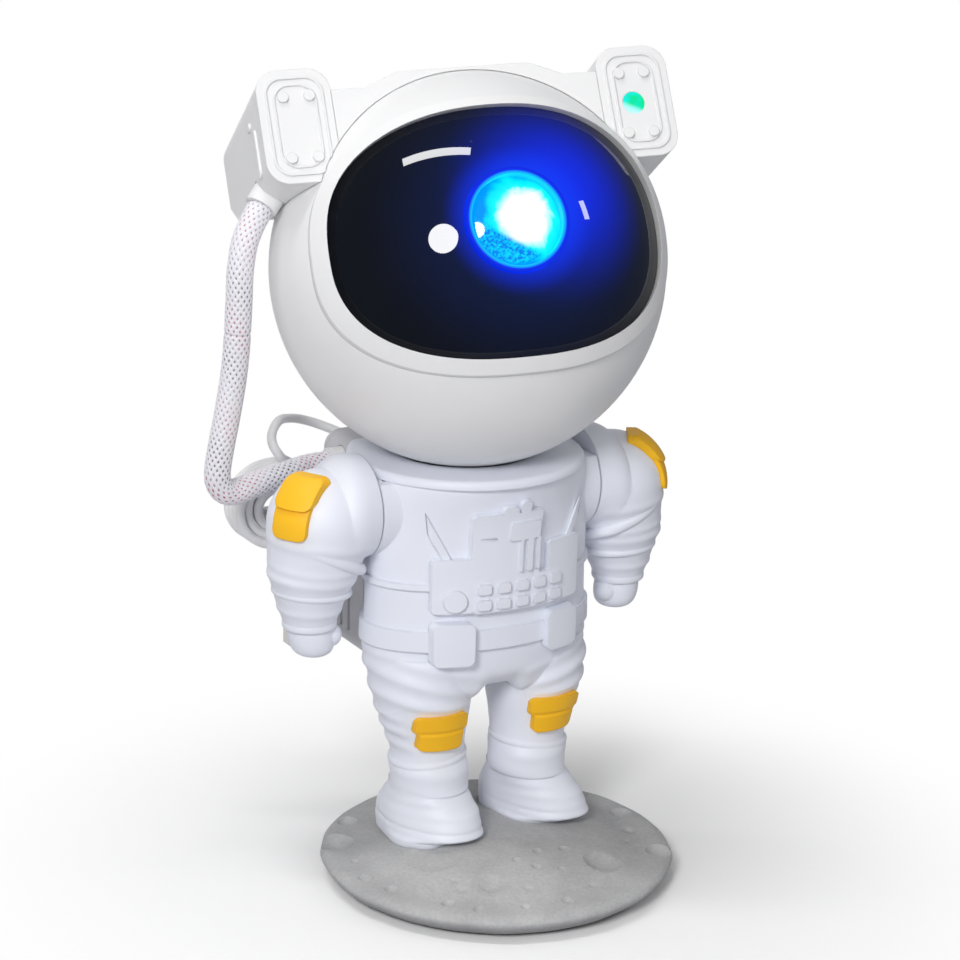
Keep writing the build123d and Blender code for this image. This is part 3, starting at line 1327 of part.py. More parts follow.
with BuildPart() as lens_barrel:
    with BuildSketch(Plane(origin=HEAD_CENTRE, x_dir=SIDEWAYS, z_dir=-OPTIC.y_dir)):
        with BuildLine():
            Polyline(
                (LENS_RING_R, HEAD_R - 0.5),
                (LENS_RING_R, 45.6),
                (16.0, 45.6),
                (16.0, 43.6),
                (14.8, 43.6),
                (14.8, 36.0),
                (26.5, 36.0),
                (26.5, 34.0),
                (14.8, 34.0),
                (14.8, 29.5),
                (12.8, 29.5),
                (12.8, 43.5),
                (10.8, 43.5),
                (10.8, 45.0),
                (LENS_R + 0.08, 45.0),
                (LENS_R + 0.08, HEAD_R - 0.5),
                close=True,
            )
        make_face()
    revolve(axis=Axis(HEAD_CENTRE, OPTIC.z_dir))
    for x, y in POSTS:
        optic_cylinder(x, y, 33, 37, 1.1, Mode.SUBTRACT)
lens_barrel.part.label = "lens_barrel"
export_step(lens_barrel.part, "parts/lens_barrel.step")

LENS_CROWN_R = 28.1
with BuildPart() as projection_lens:
    with Locations(HEAD_CENTRE + OPTIC.z_dir * (52.2 - LENS_CROWN_R)):
        Sphere(LENS_CROWN_R)
    optic_cylinder(0, 0, 45.05, 60, LENS_R, Mode.INTERSECT)
projection_lens.part.label = "projection_lens"
export_step(projection_lens.part, "parts/projection_lens.step")

with BuildPart() as optics_chassis:
    with BuildSketch(OPTIC.offset(9.5)):
        Circle(27.0)
        for foot in CHASSIS_FEET:
            reach = math.hypot(*foot)
            turn = math.degrees(math.atan2(foot[1], foot[0]))
            with Locations(Location((foot[0] / 2, foot[1] / 2, 0), (0, 0, turn))):
                SlotOverall(reach + 8.0, 8.0)
    extrude(amount=2.0)
    for x, y in POSTS:
        optic_cylinder(x, y, 11.4, 33.95, 2.2)
        optic_cylinder(x, y, 25, 34, 0.8, Mode.SUBTRACT)
    optic_cylinder(0, MOTOR_UP, 5, 14, MOTOR_R + 0.05, Mode.SUBTRACT)
    for x, y in CHASSIS_FEET:
        optic_cylinder(x, y, 5, 14, 1.1, Mode.SUBTRACT)
optics_chassis.part.label = "optics_chassis"
export_step(optics_chassis.part, "parts/optics_chassis.step")

with BuildPart() as optics_screws:
    for x, y in POSTS:
        optic_cylinder(x, y, 36.05, 37.3, 2.0)
        optic_cylinder(x, y, 29.0, 36.1, 0.75)
    for x, y in CHASSIS_FEET:
        optic_cylinder(x, y, 8.2, 9.45, 2.0)
        optic_cylinder(x, y, 9.4, 18.0, 0.75)
optics_screws.part.label = "optics_screws"
export_step(optics_screws.part, "parts/optics_screws.step")

with BuildPart() as led_board:
    optic_cylinder(0, 0, 11.55, 13.1, 10.4)
    with BuildSketch(OPTIC.offset(13.1)):
        with GridLocations(3.4, 3.4, 2, 2):
            Rectangle(2.8, 2.8)
    extrude(amount=0.9)
led_board.part.label = "led_board"
export_step(led_board.part, "parts/led_board.step")

with BuildPart() as collimator:
    with BuildSketch(OPTIC.offset(14.1)) as narrow:
        Circle(4.4)
    with BuildSketch(OPTIC.offset(22.0)) as wide:
        Circle(8.6)
    loft([narrow.sketch, wide.sketch])
    optic_cylinder(0, 0, 21.9, 23.0, 9.4)
    for x, y in ((-8.2, 0), (8.2, 0), (0, -8.2)):
        optic_cylinder(x, y, 13.15, 22.4, 1.0)
collimator.part.label = "collimator"
export_step(collimator.part, "parts/collimator.step")

with BuildPart() as heat_sink:
    optic_cylinder(0, 0, 7.0, 9.45, 10.4)
    with BuildSketch(OPTIC.offset(7.0)):
        with GridLocations(3.2, 1, 5, 1):
            Rectangle(1.2, 15.0)
    extrude(amount=-9.0)
heat_sink.part.label = "heat_sink"
export_step(heat_sink.part, "parts/heat_sink.step")

with BuildPart() as motor:
    optic_cylinder(0, MOTOR_UP, 1.0, 21.0, MOTOR_R)
    optic_cylinder(0, MOTOR_UP, 21.0, 22.2, 2.4)
    optic_cylinder(0, MOTOR_UP, 12.0, 23.0, SHAFT_R + AXLE_GAP, Mode.SUBTRACT)
motor.part.label = "motor"
export_step(motor.part, "parts/motor.step")

with BuildPart() as motor_shaft:
    optic_cylinder(0, MOTOR_UP, 12.3, 28.6, SHAFT_R)
motor_shaft.part.label = "motor_shaft"
export_step(motor_shaft.part, "parts/motor_shaft.step")

with BuildPart() as ripple_disc:
    optic_cylinder(0, MOTOR_UP, 25.4, 26.8, 22.0)
    optic_cylinder(0, MOTOR_UP, 23.6, 28.8, 3.0)
    optic_cylinder(0, MOTOR_UP, 23, 29, SHAFT_R, Mode.SUBTRACT)
    # the moulded ripples
    for ring in (8.0, 11.5, 15.0, 18.5):
        with BuildSketch(OPTIC.offset(26.8)) as band:
            with Locations((0, MOTOR_UP)):
                Circle(ring + 0.7)
                Circle(ring - 0.7, mode=Mode.SUBTRACT)
        extrude(band.sketch, amount=0.35)
ripple_disc.part.label = "ripple_disc"
export_step(ripple_disc.part, "parts/ripple_disc.step")
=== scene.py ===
"""Looks of a table-top star projector shaped as a space-suited figure on a moon base.

Lengths are in millimetres until a mesh is written, and Blender's unit is the metre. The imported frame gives
the rigid pieces. This script adds the cords and the stage, and dresses every piece in its finish.
"""

from __future__ import annotations

import logging
import math
from collections.abc import Callable
from dataclasses import dataclass
from enum import Enum
from functools import partial
from typing import ClassVar

import bmesh
import bpy
import numpy as np
from bpy.types import Material, Mesh, Node, NodeSocket, NodeTree, Object
from mathutils import Matrix, Vector

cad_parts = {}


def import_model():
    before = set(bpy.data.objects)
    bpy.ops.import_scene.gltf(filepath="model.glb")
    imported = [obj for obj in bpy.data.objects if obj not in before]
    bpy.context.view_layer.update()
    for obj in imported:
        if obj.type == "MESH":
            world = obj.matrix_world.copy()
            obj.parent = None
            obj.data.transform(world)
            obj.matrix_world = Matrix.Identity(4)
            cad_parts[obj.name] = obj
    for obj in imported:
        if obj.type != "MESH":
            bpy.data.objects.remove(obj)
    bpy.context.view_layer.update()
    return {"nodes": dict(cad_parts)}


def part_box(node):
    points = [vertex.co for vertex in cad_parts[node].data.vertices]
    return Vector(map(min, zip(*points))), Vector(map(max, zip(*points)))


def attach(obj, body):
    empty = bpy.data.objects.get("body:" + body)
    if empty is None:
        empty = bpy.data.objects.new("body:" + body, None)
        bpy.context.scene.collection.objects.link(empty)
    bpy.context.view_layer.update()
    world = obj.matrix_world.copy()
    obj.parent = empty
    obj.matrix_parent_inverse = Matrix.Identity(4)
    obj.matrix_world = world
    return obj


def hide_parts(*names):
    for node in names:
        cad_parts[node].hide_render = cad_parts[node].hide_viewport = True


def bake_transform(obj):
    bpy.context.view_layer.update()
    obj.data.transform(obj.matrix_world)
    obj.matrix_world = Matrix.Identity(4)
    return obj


LOG = logging.getLogger("star_projector")
MM = 0.001
WHITE = "#ffffff"

# a Mix node's colours are its inputs 6 and 7
COLOUR_MIX = {"data_type": "RGBA"}
SMOOTH_RANGE = {"interpolation_type": "SMOOTHSTEP"}

Point = tuple[float, float, float]
Span = tuple[float, float]
Names = tuple[str, str, str]
NodeAdder = Callable[..., Node]


# --- small helpers
def linear(colour: str) -> tuple[float, float, float, float]:
    """Turn an sRGB hex colour into Blender's linear RGBA.

    Args:
        colour: Six hex digits with a leading hash.

    Returns:
        Linear red, green, blue and an alpha of 1.
    """
    parts = [int(colour[i : i + 2], 16) / 255 for i in (1, 3, 5)]
    r, g, b = (c / 12.92 if c <= 0.04045 else ((c + 0.055) / 1.055) ** 2.4 for c in parts)
    return (r, g, b, 1.0)


def add_node(tree: NodeTree, kind: str, settings: dict | None = None, **sockets: object) -> Node:
    """Add a node, set its properties, and fill or link its inputs.

    Args:
        tree: The tree that takes the node.
        kind: The node's type without its ShaderNode prefix.
        settings: Properties of the node itself.
        **sockets: Inputs by name with underscores for spaces, or by in0, in1 and so on. An output socket
            is linked, a node is linked by its first output in use, a hex colour is stored in linear form,
            and any other value is stored as it is.

    Returns:
        The new node.
    """
    node = tree.nodes.new("ShaderNode" + kind)
    for key, value in (settings or {}).items():
        setattr(node, key, value)
    for key, value in sockets.items():
        numbered = key.startswith("in") and key[2:].isdigit()
        socket = node.inputs[int(key[2:])] if numbered else node.inputs[key.replace("_", " ")]
        if isinstance(value, Node):
            value = next(output for output in value.outputs if output.enabled)
        if isinstance(value, NodeSocket):
            tree.links.new(value, socket)
        else:
            socket.default_value = linear(value) if isinstance(value, str) else value
    return node


def node_adder(tree: NodeTree) -> NodeAdder:
    """Empty a tree and return the function that adds a node to it."""
    tree.nodes.clear()
    return partial(add_node, tree)


def set_stops(ramp: bpy.types.ColorRamp, *stops: tuple[float, str]) -> None:
    """Give a new colour ramp its stops, from the lowest to the highest.

    Args:
        ramp: The ramp.
        *stops: Each stop's position and its hex colour.
    """
    for element, (position, colour) in zip((ramp.elements[0], ramp.elements[1]), (stops[0], stops[-1])):
        element.color, element.position = linear(colour), position
    for position, colour in stops[1:-1]:
        ramp.elements.new(position).color = linear(colour)


def from_point(add: NodeAdder, place: NodeSocket, centre: Point) -> Node:
    """Add the vector from a point in millimetres to the place that is shaded, in metres."""
    return add("VectorMath", {"operation": "SUBTRACT"}, in0=place, in1=tuple(c * MM for c in centre))


def side_field(add: NodeAdder, place: NodeSocket, centre: Point, towards: Point, span: Span, **how: str) -> Node:
    """Add a value that rises from 0 to 1 over a span of distances in one direction from a point."""
    side = add("VectorMath", {"operation": "DOT_PRODUCT"}, in0=from_point(add, place, centre), in1=towards)
    return add("MapRange", how, Value=side, From_Min=span[0] * MM, From_Max=span[1] * MM)


def glow_field(add: NodeAdder, place: NodeSocket, centre: Point, near: float, far: float) -> Node:
    """Add a value that falls smoothly from 1 to 0 with the distance from a point.

    Args:
        add: Adds a node to the tree.
        place: The place that is shaded.
        centre: The point, in millimetres.
        near: The distance at which the value starts to fall.
        far: The distance at which it reaches 0.

    Returns:
        The node that gives the value.
    """
    reach = add("VectorMath", {"operation": "LENGTH"}, in0=from_point(add, place, centre))
    return add("MapRange", SMOOTH_RANGE, Value=reach, From_Min=near * MM, From_Max=far * MM, To_Min=1.0, To_Max=0.0)


def backdrop_rays(add: NodeAdder) -> Node:
    """Add a value of 1 for the camera's, glass's and gloss's rays, which see the backdrop, and 0 for others.

    Args:
        add: Adds a node to the tree.

    Returns:
        The node that gives the value.
    """
    path = add("LightPath").outputs
    clear = add("Math", {"operation": "MAXIMUM"}, in0=path["Is Camera Ray"], in1=path["Is Transmission Ray"])
    return add("Math", {"operation": "MAXIMUM"}, in0=clear, in1=path["Is Glossy Ray"])


def surface_mesh(name: str, points: np.ndarray, closed_u: bool, caps: bool) -> Mesh:
    """Write a grid of points as one mesh of quads, with smooth faces.

    Args:
        name: The mesh's name.
        points: Rows along v, columns round u, and x, y, z in millimetres.
        closed_u: Whether the last column joins the first.
        caps: Whether the first and last rows are closed with one point each.

    Returns:
        The mesh, in metres.
    """
    rows, columns = points.shape[:2]
    grid = np.arange(rows * columns).reshape(rows, columns)
    right = np.roll(grid, -1, axis=1) if closed_u else grid[:, 1:]
    left = grid if closed_u else grid[:, :-1]
    quads = np.stack([left[:-1], right[:-1], right[1:], left[1:]], axis=-1).reshape(-1, 4)
    verts = points.reshape(-1, 3)
    faces = quads.tolist()
    if caps:
        verts = np.vstack([verts, points[0].mean(axis=0), points[-1].mean(axis=0)])
        a, b = rows * columns, rows * columns + 1
        ring, end = grid[0], grid[-1]
        faces += np.stack([np.roll(ring, -1), ring, np.full(columns, a)], axis=-1).tolist()
        faces += np.stack([end, np.roll(end, -1), np.full(columns, b)], axis=-1).tolist()
    mesh = bpy.data.meshes.new(name)
    mesh.from_pydata((verts * MM).tolist(), [], faces)
    mesh.polygons.foreach_set("use_smooth", np.ones(len(faces), bool))
    mesh.update()
    return mesh


def put_in_scene(name: str, data: bpy.types.ID, material: Material | None = None) -> Object:
    """Link new data to the scene as an object at the origin.

    Args:
        name: The object's name.
        data: Its mesh, curve, lamp or camera.
        material: Its finish, if it has one yet.

    Returns:
        The object.
    """
    piece = bpy.data.objects.new(name, data)
    bpy.context.scene.collection.objects.link(piece)
    if material is not None:
        data.materials.append(material)
    return piece


def open_spline(name: str, corners: np.ndarray, steps: int) -> bpy.types.Curve:
    """Make one open NURBS spline of order 3 that starts and ends on its end points.

    Args:
        name: The curve's name.
        corners: Control points in millimetres.
        steps: How finely Blender divides it.

    Returns:
        The curve, in metres.
    """
    curve = bpy.data.curves.new(name, "CURVE")
    curve.dimensions, curve.resolution_u = "3D", steps
    spline = curve.splines.new("NURBS")
    spline.points.add(len(corners) - 1)
    rows = np.hstack([corners * MM, np.ones((len(corners), 1))])
    spline.points.foreach_set("co", rows.astype(np.float32).ravel())
    spline.order_u, spline.use_endpoint_u = 3, True
    return curve


def spline_line(corners: np.ndarray, steps: int = 24) -> np.ndarray:
    """Read the line of a route's spline from Blender.

    Args:
        corners: Control points in millimetres.
        steps: How finely Blender divides it.

    Returns:
        Points along the spline, in millimetres.
    """
    curve = open_spline("route", corners, steps)
    reader = bpy.data.objects.new("route", curve)
    mesh = bpy.data.meshes.new_from_object(reader)
    points = np.empty(len(mesh.vertices) * 3)
    mesh.vertices.foreach_get("co", points)
    bpy.data.objects.remove(reader)
    bpy.data.meshes.remove(mesh)
    bpy.data.curves.remove(curve)
    return points.reshape(-1, 3) / MM


def evenly_spaced(line: np.ndarray, step: float) -> tuple[np.ndarray, np.ndarray]:
    """Space a line's points evenly.

    Args:
        line: Points along the line, in millimetres.
        step: The wanted distance between points.

    Returns:
        The new points and their distances from the start.
    """
    along = np.concatenate([[0], np.cumsum(np.linalg.norm(np.diff(line, axis=0), axis=1))])
    count = max(round(along[-1] / step), 2)
    wanted = np.linspace(0, along[-1], count + 1)
    return np.stack([np.interp(wanted, along, line[:, k]) for k in range(3)], axis=1), wanted


def side_frames(line: np.ndarray, reference: Point) -> tuple[np.ndarray, np.ndarray]:
    """Give two directions square to a line at each point, the first one towards a reference direction.

    Args:
        line: Points along the line.
        reference: The reference direction.

    Returns:
        The first and the second directions, with a row for each point.
    """
    tangent = np.gradient(line, axis=0)
    tangent /= np.linalg.norm(tangent, axis=1, keepdims=True)
    first = reference - tangent * (tangent @ reference)[:, None]
    first /= np.linalg.norm(first, axis=1, keepdims=True)
    return first, np.cross(tangent, first)


def ease(value: np.ndarray, low: float, high: float) -> np.ndarray:
    """Rise from 0 at low to 1 at high as the smooth step 3t^2 - 2t^3, or fall where high is the smaller."""
    t = np.clip((value - low) / (high - low), 0, 1)
    return t * t * (3 - 2 * t)


# --- finishes
class SurfaceFinish:
    """A finish that makes its material from the shader that its own class adds."""

    name: str

    def shader(self, add: NodeAdder, place: NodeSocket) -> Node:
        """Add the shader's nodes."""
        raise NotImplementedError

    def build(self) -> Material:
        """Make the material.

        Returns:
            The material.
        """
        material = bpy.data.materials.new(self.name)
        material.use_nodes = True
        add = node_adder(material.node_tree)
        add("OutputMaterial", Surface=self.shader(add, add("TexCoord").outputs["Object"]))
        return material


@dataclass(frozen=True)
class MouldedPlastic(SurfaceFinish):
    """Injection-moulded plastic with a fine spark-eroded texture and rounded edges.

    The base colour drifts slightly over a few centimetres, as pigment does in a large moulding, and the
    texture breaks up the highlight.
    """

    name: str
    colour: str
    shade: str
    roughness: float = 0.42
    grain_mm: float = 0.5
    grain_depth_mm: float = 0.012
    edge_mm: float = 0.45
    coat: float = 0.0
    drift_mm: float = 32.0
    gloss_spread: Span = (-0.05, 0.07)

    def shader(self, add: NodeAdder, place: NodeSocket) -> Node:
        """Add the shader's nodes.

        Args:
            add: Adds a node to the material.
            place: The place that is shaded.

        Returns:
            The shader.
        """
        drift = add("TexNoise", Vector=place, Scale=1 / (self.drift_mm * MM), Detail=3.0)
        tone = add("Mix", COLOUR_MIX, in0=drift, in6=self.colour, in7=self.shade)
        grain = add("TexNoise", Vector=place, Scale=1 / (self.grain_mm * MM), Detail=2.0)
        smoothest, roughest = (self.roughness + change for change in self.gloss_spread)
        gloss = add("MapRange", Value=grain, To_Min=smoothest, To_Max=roughest)
        edge = add("Bevel", {"samples": 4}, Radius=self.edge_mm * MM)
        relief = add("Bump", Strength=0.6, Distance=self.grain_depth_mm * MM, Height=grain, Normal=edge)
        return add("BsdfPrincipled", Base_Color=tone, Roughness=gloss, Normal=relief, IOR=1.5, Coat_Weight=self.coat,
                   Coat_Roughness=0.2)


@dataclass(frozen=True)
class MoonResin(SurfaceFinish):
    """Cast resin with a matte grey paint and sand in it, which gives a dusty, pitted skin."""

    name: str = "cast_resin_moon_grey"
    colour: str = "#bebebe"
    shade: str = "#a9a9aa"
    blotch_mm: float = 22.0
    sand_mm: float = 0.9
    sand_depth_mm: float = 0.05
    ripple_mm: float = 7.0
    ripple_depth_mm: float = 0.5
    roughness: float = 0.82

    def shader(self, add: NodeAdder, place: NodeSocket) -> Node:
        """Add the shader's nodes.

        Args:
            add: Adds a node to the material.
            place: The place that is shaded.

        Returns:
            The shader.
        """
        broad = add("TexNoise", Vector=place, Scale=1 / (self.blotch_mm * MM), Detail=4.0, Roughness=0.6)
        fine = add("TexNoise", Vector=place, Scale=1 / (self.sand_mm * MM), Detail=3.0)
        ripple = add("TexNoise", Vector=place, Scale=1 / (self.ripple_mm * MM), Detail=3.0)
        blotch = add("MapRange", Value=broad, From_Min=0.3, From_Max=0.7)
        tone = add("Mix", COLOUR_MIX, in0=blotch, in6=self.colour, in7=self.shade)
        speck = add("MapRange", Value=fine, From_Min=0.35, From_Max=0.65, To_Min=0.93, To_Max=1.05)
        dusty = add("Mix", COLOUR_MIX | {"blend_type": "MULTIPLY"}, in0=1.0, in6=tone, in7=speck)
        swell = add("Bump", Strength=0.9, Distance=self.ripple_depth_mm * MM, Height=ripple)
        sand = add("Bump", Strength=0.8, Distance=self.sand_depth_mm * MM, Height=fine, Normal=swell)
        return add("BsdfPrincipled", Base_Color=dusty, Roughness=self.roughness, Normal=sand, Specular_IOR_Level=0.3)


@dataclass(frozen=True)
class MirrorVisor(SurfaceFinish):
    """Black acrylic polished like glass, with the projector's blue light spilling through it.

    Three rounds of light add up to the spill: a tight one round the lens, a broad one up and to the
    figure's left of it, and a faint one over the whole front. Each has its middle's offset from the lens,
    and the distances at which it starts to fall and ends.
    """

    lens: Point
    name: str = "black_acrylic_polished"
    roughness: float = 0.02
    ior: float = 1.48
    haze_mm: float = 14.0
    tight: tuple[Point, float, float] = ((1.5, 0.0, 1.0), 11.0, 21.0)
    broad: tuple[Point, float, float] = ((13.0, 2.0, 7.0), 2.0, 34.0)
    faint: tuple[Point, float, float] = ((4.0, 0.0, 2.0), 6.0, 46.0)
    broad_falloff: float = 1.3

    def shader(self, add: NodeAdder, place: NodeSocket) -> Node:
        """Add the shader's nodes.

        Args:
            add: Adds a node to the material.
            place: The place that is shaded.

        Returns:
            The shader.
        """
        tight, broad, faint = (
            glow_field(add, place, tuple(c + o for c, o in zip(self.lens, offset)), near, far)
            for offset, near, far in (self.tight, self.broad, self.faint))
        power = add("Math", {"operation": "POWER"}, in0=broad, in1=self.broad_falloff)
        wide, close, dim = (
            add("Mix", COLOUR_MIX, in0=share, in6=dark, in7=lit) for share, dark, lit in
            ((power, "#000000", "#0020e8"), (tight, "#000000", "#0022d8"), (faint, "#03060c", "#0a1a48")))
        both = add("Mix", COLOUR_MIX | {"blend_type": "SCREEN"}, in0=1.0, in6=wide, in7=close)
        spill = add("Mix", COLOUR_MIX | {"blend_type": "SCREEN"}, in0=1.0, in6=both, in7=dim)
        haze = add("TexNoise", Vector=place, Scale=1 / (self.haze_mm * MM), Detail=2.0)
        tint = add("Mix", COLOUR_MIX, in0=haze, in6="#050507", in7="#0a0a0e")
        return add("BsdfPrincipled", Base_Color=tint, Roughness=self.roughness, IOR=self.ior, Emission_Color=spill,
                   Emission_Strength=1.0)


@dataclass(frozen=True)
class NebulaLens(SurfaceFinish):
    """Polished crown glass lit from behind: a white cloud on cyan, with a fine-grained blue lower edge."""

    lens: Point
    name: str = "crown_glass_lit_cyan"
    cloud_mm: float = 9.0
    cloud_middle: tuple[Point, float, float] = ((2.6, 0.0, 0.6), 2.0, 14.0)
    cloud_share: float = 0.55
    fleck_mm: float = 0.7
    down: Point = (-0.5, 0.0, -0.86)
    grained_from: Span = (4.2, 5.8)
    grained_within: Span = (10.4, 11.4)

    def shader(self, add: NodeAdder, place: NodeSocket) -> Node:
        """Add the shader's nodes.

        Args:
            add: Adds a node to the material.
            place: The place that is shaded.

        Returns:
            The shader.
        """
        cloud = add("TexNoise", Vector=place, Scale=1 / (self.cloud_mm * MM), Detail=5.0, Roughness=0.55,
                    Distortion=0.9)
        offset, near, far = self.cloud_middle
        middle = glow_field(add, place, tuple(c + o for c, o in zip(self.lens, offset)), near, far)
        bright = add("Mix", {"data_type": "FLOAT"}, in0=self.cloud_share, in2=cloud, in3=middle)
        tone = add("ValToRGB", Fac=bright)
        set_stops(tone.color_ramp, (0.26, "#0094f4"), (0.36, "#00e6fc"), (0.50, "#16fcfb"), (0.58, "#b4fefe"),
                  (0.66, WHITE))
        grain = add("TexNoise", Vector=place, Scale=1 / (self.fleck_mm * MM), Detail=1.0)
        fleck = add("MapRange", Value=grain, From_Min=0.35, From_Max=0.65)
        speckled = add("Mix", COLOUR_MIX, in0=fleck, in6="#0078ec", in7="#00d8f8")
        below = side_field(add, place, self.lens, self.down, self.grained_from, **SMOOTH_RANGE)
        rim = glow_field(add, place, self.lens, *self.grained_within)
        grained = add("Math", {"operation": "MULTIPLY"}, in0=below, in1=rim)
        mixed = add("Mix", COLOUR_MIX, in0=grained, in6=tone, in7=speckled)
        return add("BsdfPrincipled", Base_Color="#06304a", Roughness=0.05, IOR=1.5, Emission_Color=mixed,
                   Emission_Strength=1.0)


@dataclass(frozen=True)
class LitRing(SurfaceFinish):
    """The lens barrel's black rim, flooded with blue by the lens beside it."""

    lens: Point
    name: str = "anodised_aluminium_black_lit_blue"
    flooded: Span = (11.6, 15.0)

    def shader(self, add: NodeAdder, place: NodeSocket) -> Node:
        """Add the shader's nodes.

        Args:
            add: Adds a node to the material.
            place: The place that is shaded.

        Returns:
            The shader.
        """
        tone = add("ValToRGB", Fac=glow_field(add, place, self.lens, *self.flooded))
        set_stops(tone.color_ramp, (0.0, "#0010a0"), (0.72, "#0430f8"), (0.98, "#10c8ff"))
        return add("BsdfPrincipled", Base_Color="#08080c", Roughness=0.16, Emission_Color=tone, Emission_Strength=1.0)


@dataclass(frozen=True)
class LaserWindow(SurfaceFinish):
    """A small round window, lit green, with a painted highlight that turns one side of it near white."""

    centre: Point
    name: str = "polished_glass_laser_green"
    cloud_mm: float = 4.0
    # Where and how sharply the painted highlight crosses the window.
    painted_glint_side: Point = (-0.35, 0.1, -0.9)
    painted_glint_edge: Span = (0.1, 1.5)

    def shader(self, add: NodeAdder, place: NodeSocket) -> Node:
        """Add the shader's nodes.

        Args:
            add: Adds a node to the material.
            place: The place that is shaded.

        Returns:
            The shader.
        """
        cloud = add("TexNoise", Vector=place, Scale=1 / (self.cloud_mm * MM), Detail=2.0)
        # Painted highlight: past a line across the window, its light turns near white.
        painted_glint = side_field(add, place, self.centre, self.painted_glint_side, self.painted_glint_edge)
        green = add("ValToRGB", Fac=cloud)
        set_stops(green.color_ramp, (0.38, "#04d070"), (0.62, "#14dcd0"))
        lit = add("Mix", COLOUR_MIX, in0=painted_glint, in6=green, in7="#b8fcff")
        return add("BsdfPrincipled", Base_Color="#04604a", Roughness=0.06, IOR=1.52, Emission_Color=lit,
                   Emission_Strength=1.1)


@dataclass(frozen=True)
class Braid(SurfaceFinish):
    """Plaited white monofilament over two coloured wires.

    The piece's gap attribute is 1 in the holes of the plait and 0 on its strands, and its wire attribute
    says which of the two wires lies under a hole.
    """

    name: str = "plaited_polyester_monofilament"
    strand: str = "#eceaf0"
    first_wire: str = "#b5404e"
    second_wire: str = "#26252c"
    # The under grey is painted shade: it fills the plait's holes where neither wire shows.
    under: str = "#b2b0b8"
    fibre_mm: float = 0.5
    fibre_depth_mm: float = 0.04

    def shader(self, add: NodeAdder, place: NodeSocket) -> Node:
        """Add the shader's nodes.

        Args:
            add: Adds a node to the material.
            place: The place that is shaded.

        Returns:
            The shader.
        """
        gap, wire = (add("Attribute", {"attribute_name": name}).outputs["Fac"] for name in ("gap", "wire"))
        pick = add("ValToRGB", Fac=wire)
        # Holes over neither wire take the under grey, which is painted shade inside the plait.
        set_stops(pick.color_ramp, (0.22, self.first_wire), (0.5, self.under), (0.78, self.second_wire))
        fibre = add("TexNoise", Vector=place, Scale=1 / (self.fibre_mm * MM), Detail=2.0)
        sharp = add("MapRange", Value=gap, From_Min=0.5, From_Max=0.9)
        tone = add("Mix", COLOUR_MIX, in0=sharp, in6=self.strand, in7=pick)
        relief = add("Bump", Strength=0.4, Distance=self.fibre_depth_mm * MM, Height=fibre)
        return add("BsdfPrincipled", Base_Color=tone, Roughness=0.5, Normal=relief, Sheen_Weight=0.2)


@dataclass(frozen=True)
class TurnedMetal(SurfaceFinish):
    """Machined or plated metal with fine tool marks that stretch the highlight."""

    name: str
    colour: str
    roughness: float = 0.28
    mark_mm: float = 0.4
    mark_depth_mm: float = 0.01
    gloss_spread: Span = (-0.08, 0.1)

    def shader(self, add: NodeAdder, place: NodeSocket) -> Node:
        """Add the shader's nodes.

        Args:
            add: Adds a node to the material.
            place: The place that is shaded.

        Returns:
            The shader.
        """
        marks = add("TexNoise", Vector=place, Scale=1 / (self.mark_mm * MM), Detail=3.0)
        smoothest, roughest = (self.roughness + change for change in self.gloss_spread)
        gloss = add("MapRange", Value=marks, To_Min=smoothest, To_Max=roughest)
        relief = add("Bump", Strength=0.3, Distance=self.mark_depth_mm * MM, Height=marks)
        return add("BsdfPrincipled", Base_Color=self.colour, Metallic=1.0, Roughness=gloss, Normal=relief)


@dataclass(frozen=True)
class PaperTop(SurfaceFinish):
    """Matte white paper that keeps the projector's shadow.

    It is white where the backdrop's rays see it, and far from the projector it gives out the backdrop's
    white. Other light sees light grey.
    """

    shadow_reach: Span
    name: str = "matte_white_paper"
    grey: str = "#bcbcc0"

    def shader(self, add: NodeAdder, place: NodeSocket) -> Node:
        """Add the shader's nodes.

        Args:
            add: Adds a node to the material.
            place: The place that is shaded.

        Returns:
            The shader.
        """
        seen = backdrop_rays(add)
        tone = add("Mix", COLOUR_MIX, in0=seen, in6=self.grey, in7=WHITE)
        paper = add("BsdfDiffuse", Color=tone)
        white = add("Emission", Color=WHITE)
        near = glow_field(add, place, (0.0, 0.0, 0.0), *self.shadow_reach)
        away = add("Math", {"operation": "SUBTRACT"}, in0=1.0, in1=near)
        share = add("Math", {"operation": "MULTIPLY"}, in0=away, in1=seen)
        return add("MixShader", in0=share, in1=paper, in2=white)


@dataclass(frozen=True)
class RoomCard(SurfaceFinish):
    """Card that stands for a dim room in gloss, and turns pale behind the projector."""

    name: str = "black_card"
    dim: str = "#5c6270"
    pale: str = "#e8e8ec"
    turns_pale: Span = (0.45, 0.85)

    def shader(self, add: NodeAdder, place: NodeSocket) -> Node:
        """Add the shader's nodes.

        Args:
            add: Adds a node to the material.
            place: The place that is shaded.

        Returns:
            The shader.
        """
        apart = add("SeparateXYZ", Vector=add("VectorMath", {"operation": "NORMALIZE"}, in0=place))
        start, full = self.turns_pale
        behind = add("MapRange", SMOOTH_RANGE, Value=apart.outputs["Y"], From_Min=start, From_Max=full)
        tone = add("Mix", COLOUR_MIX, in0=behind, in6=self.dim, in7=self.pale)
        return add("Emission", Color=tone)


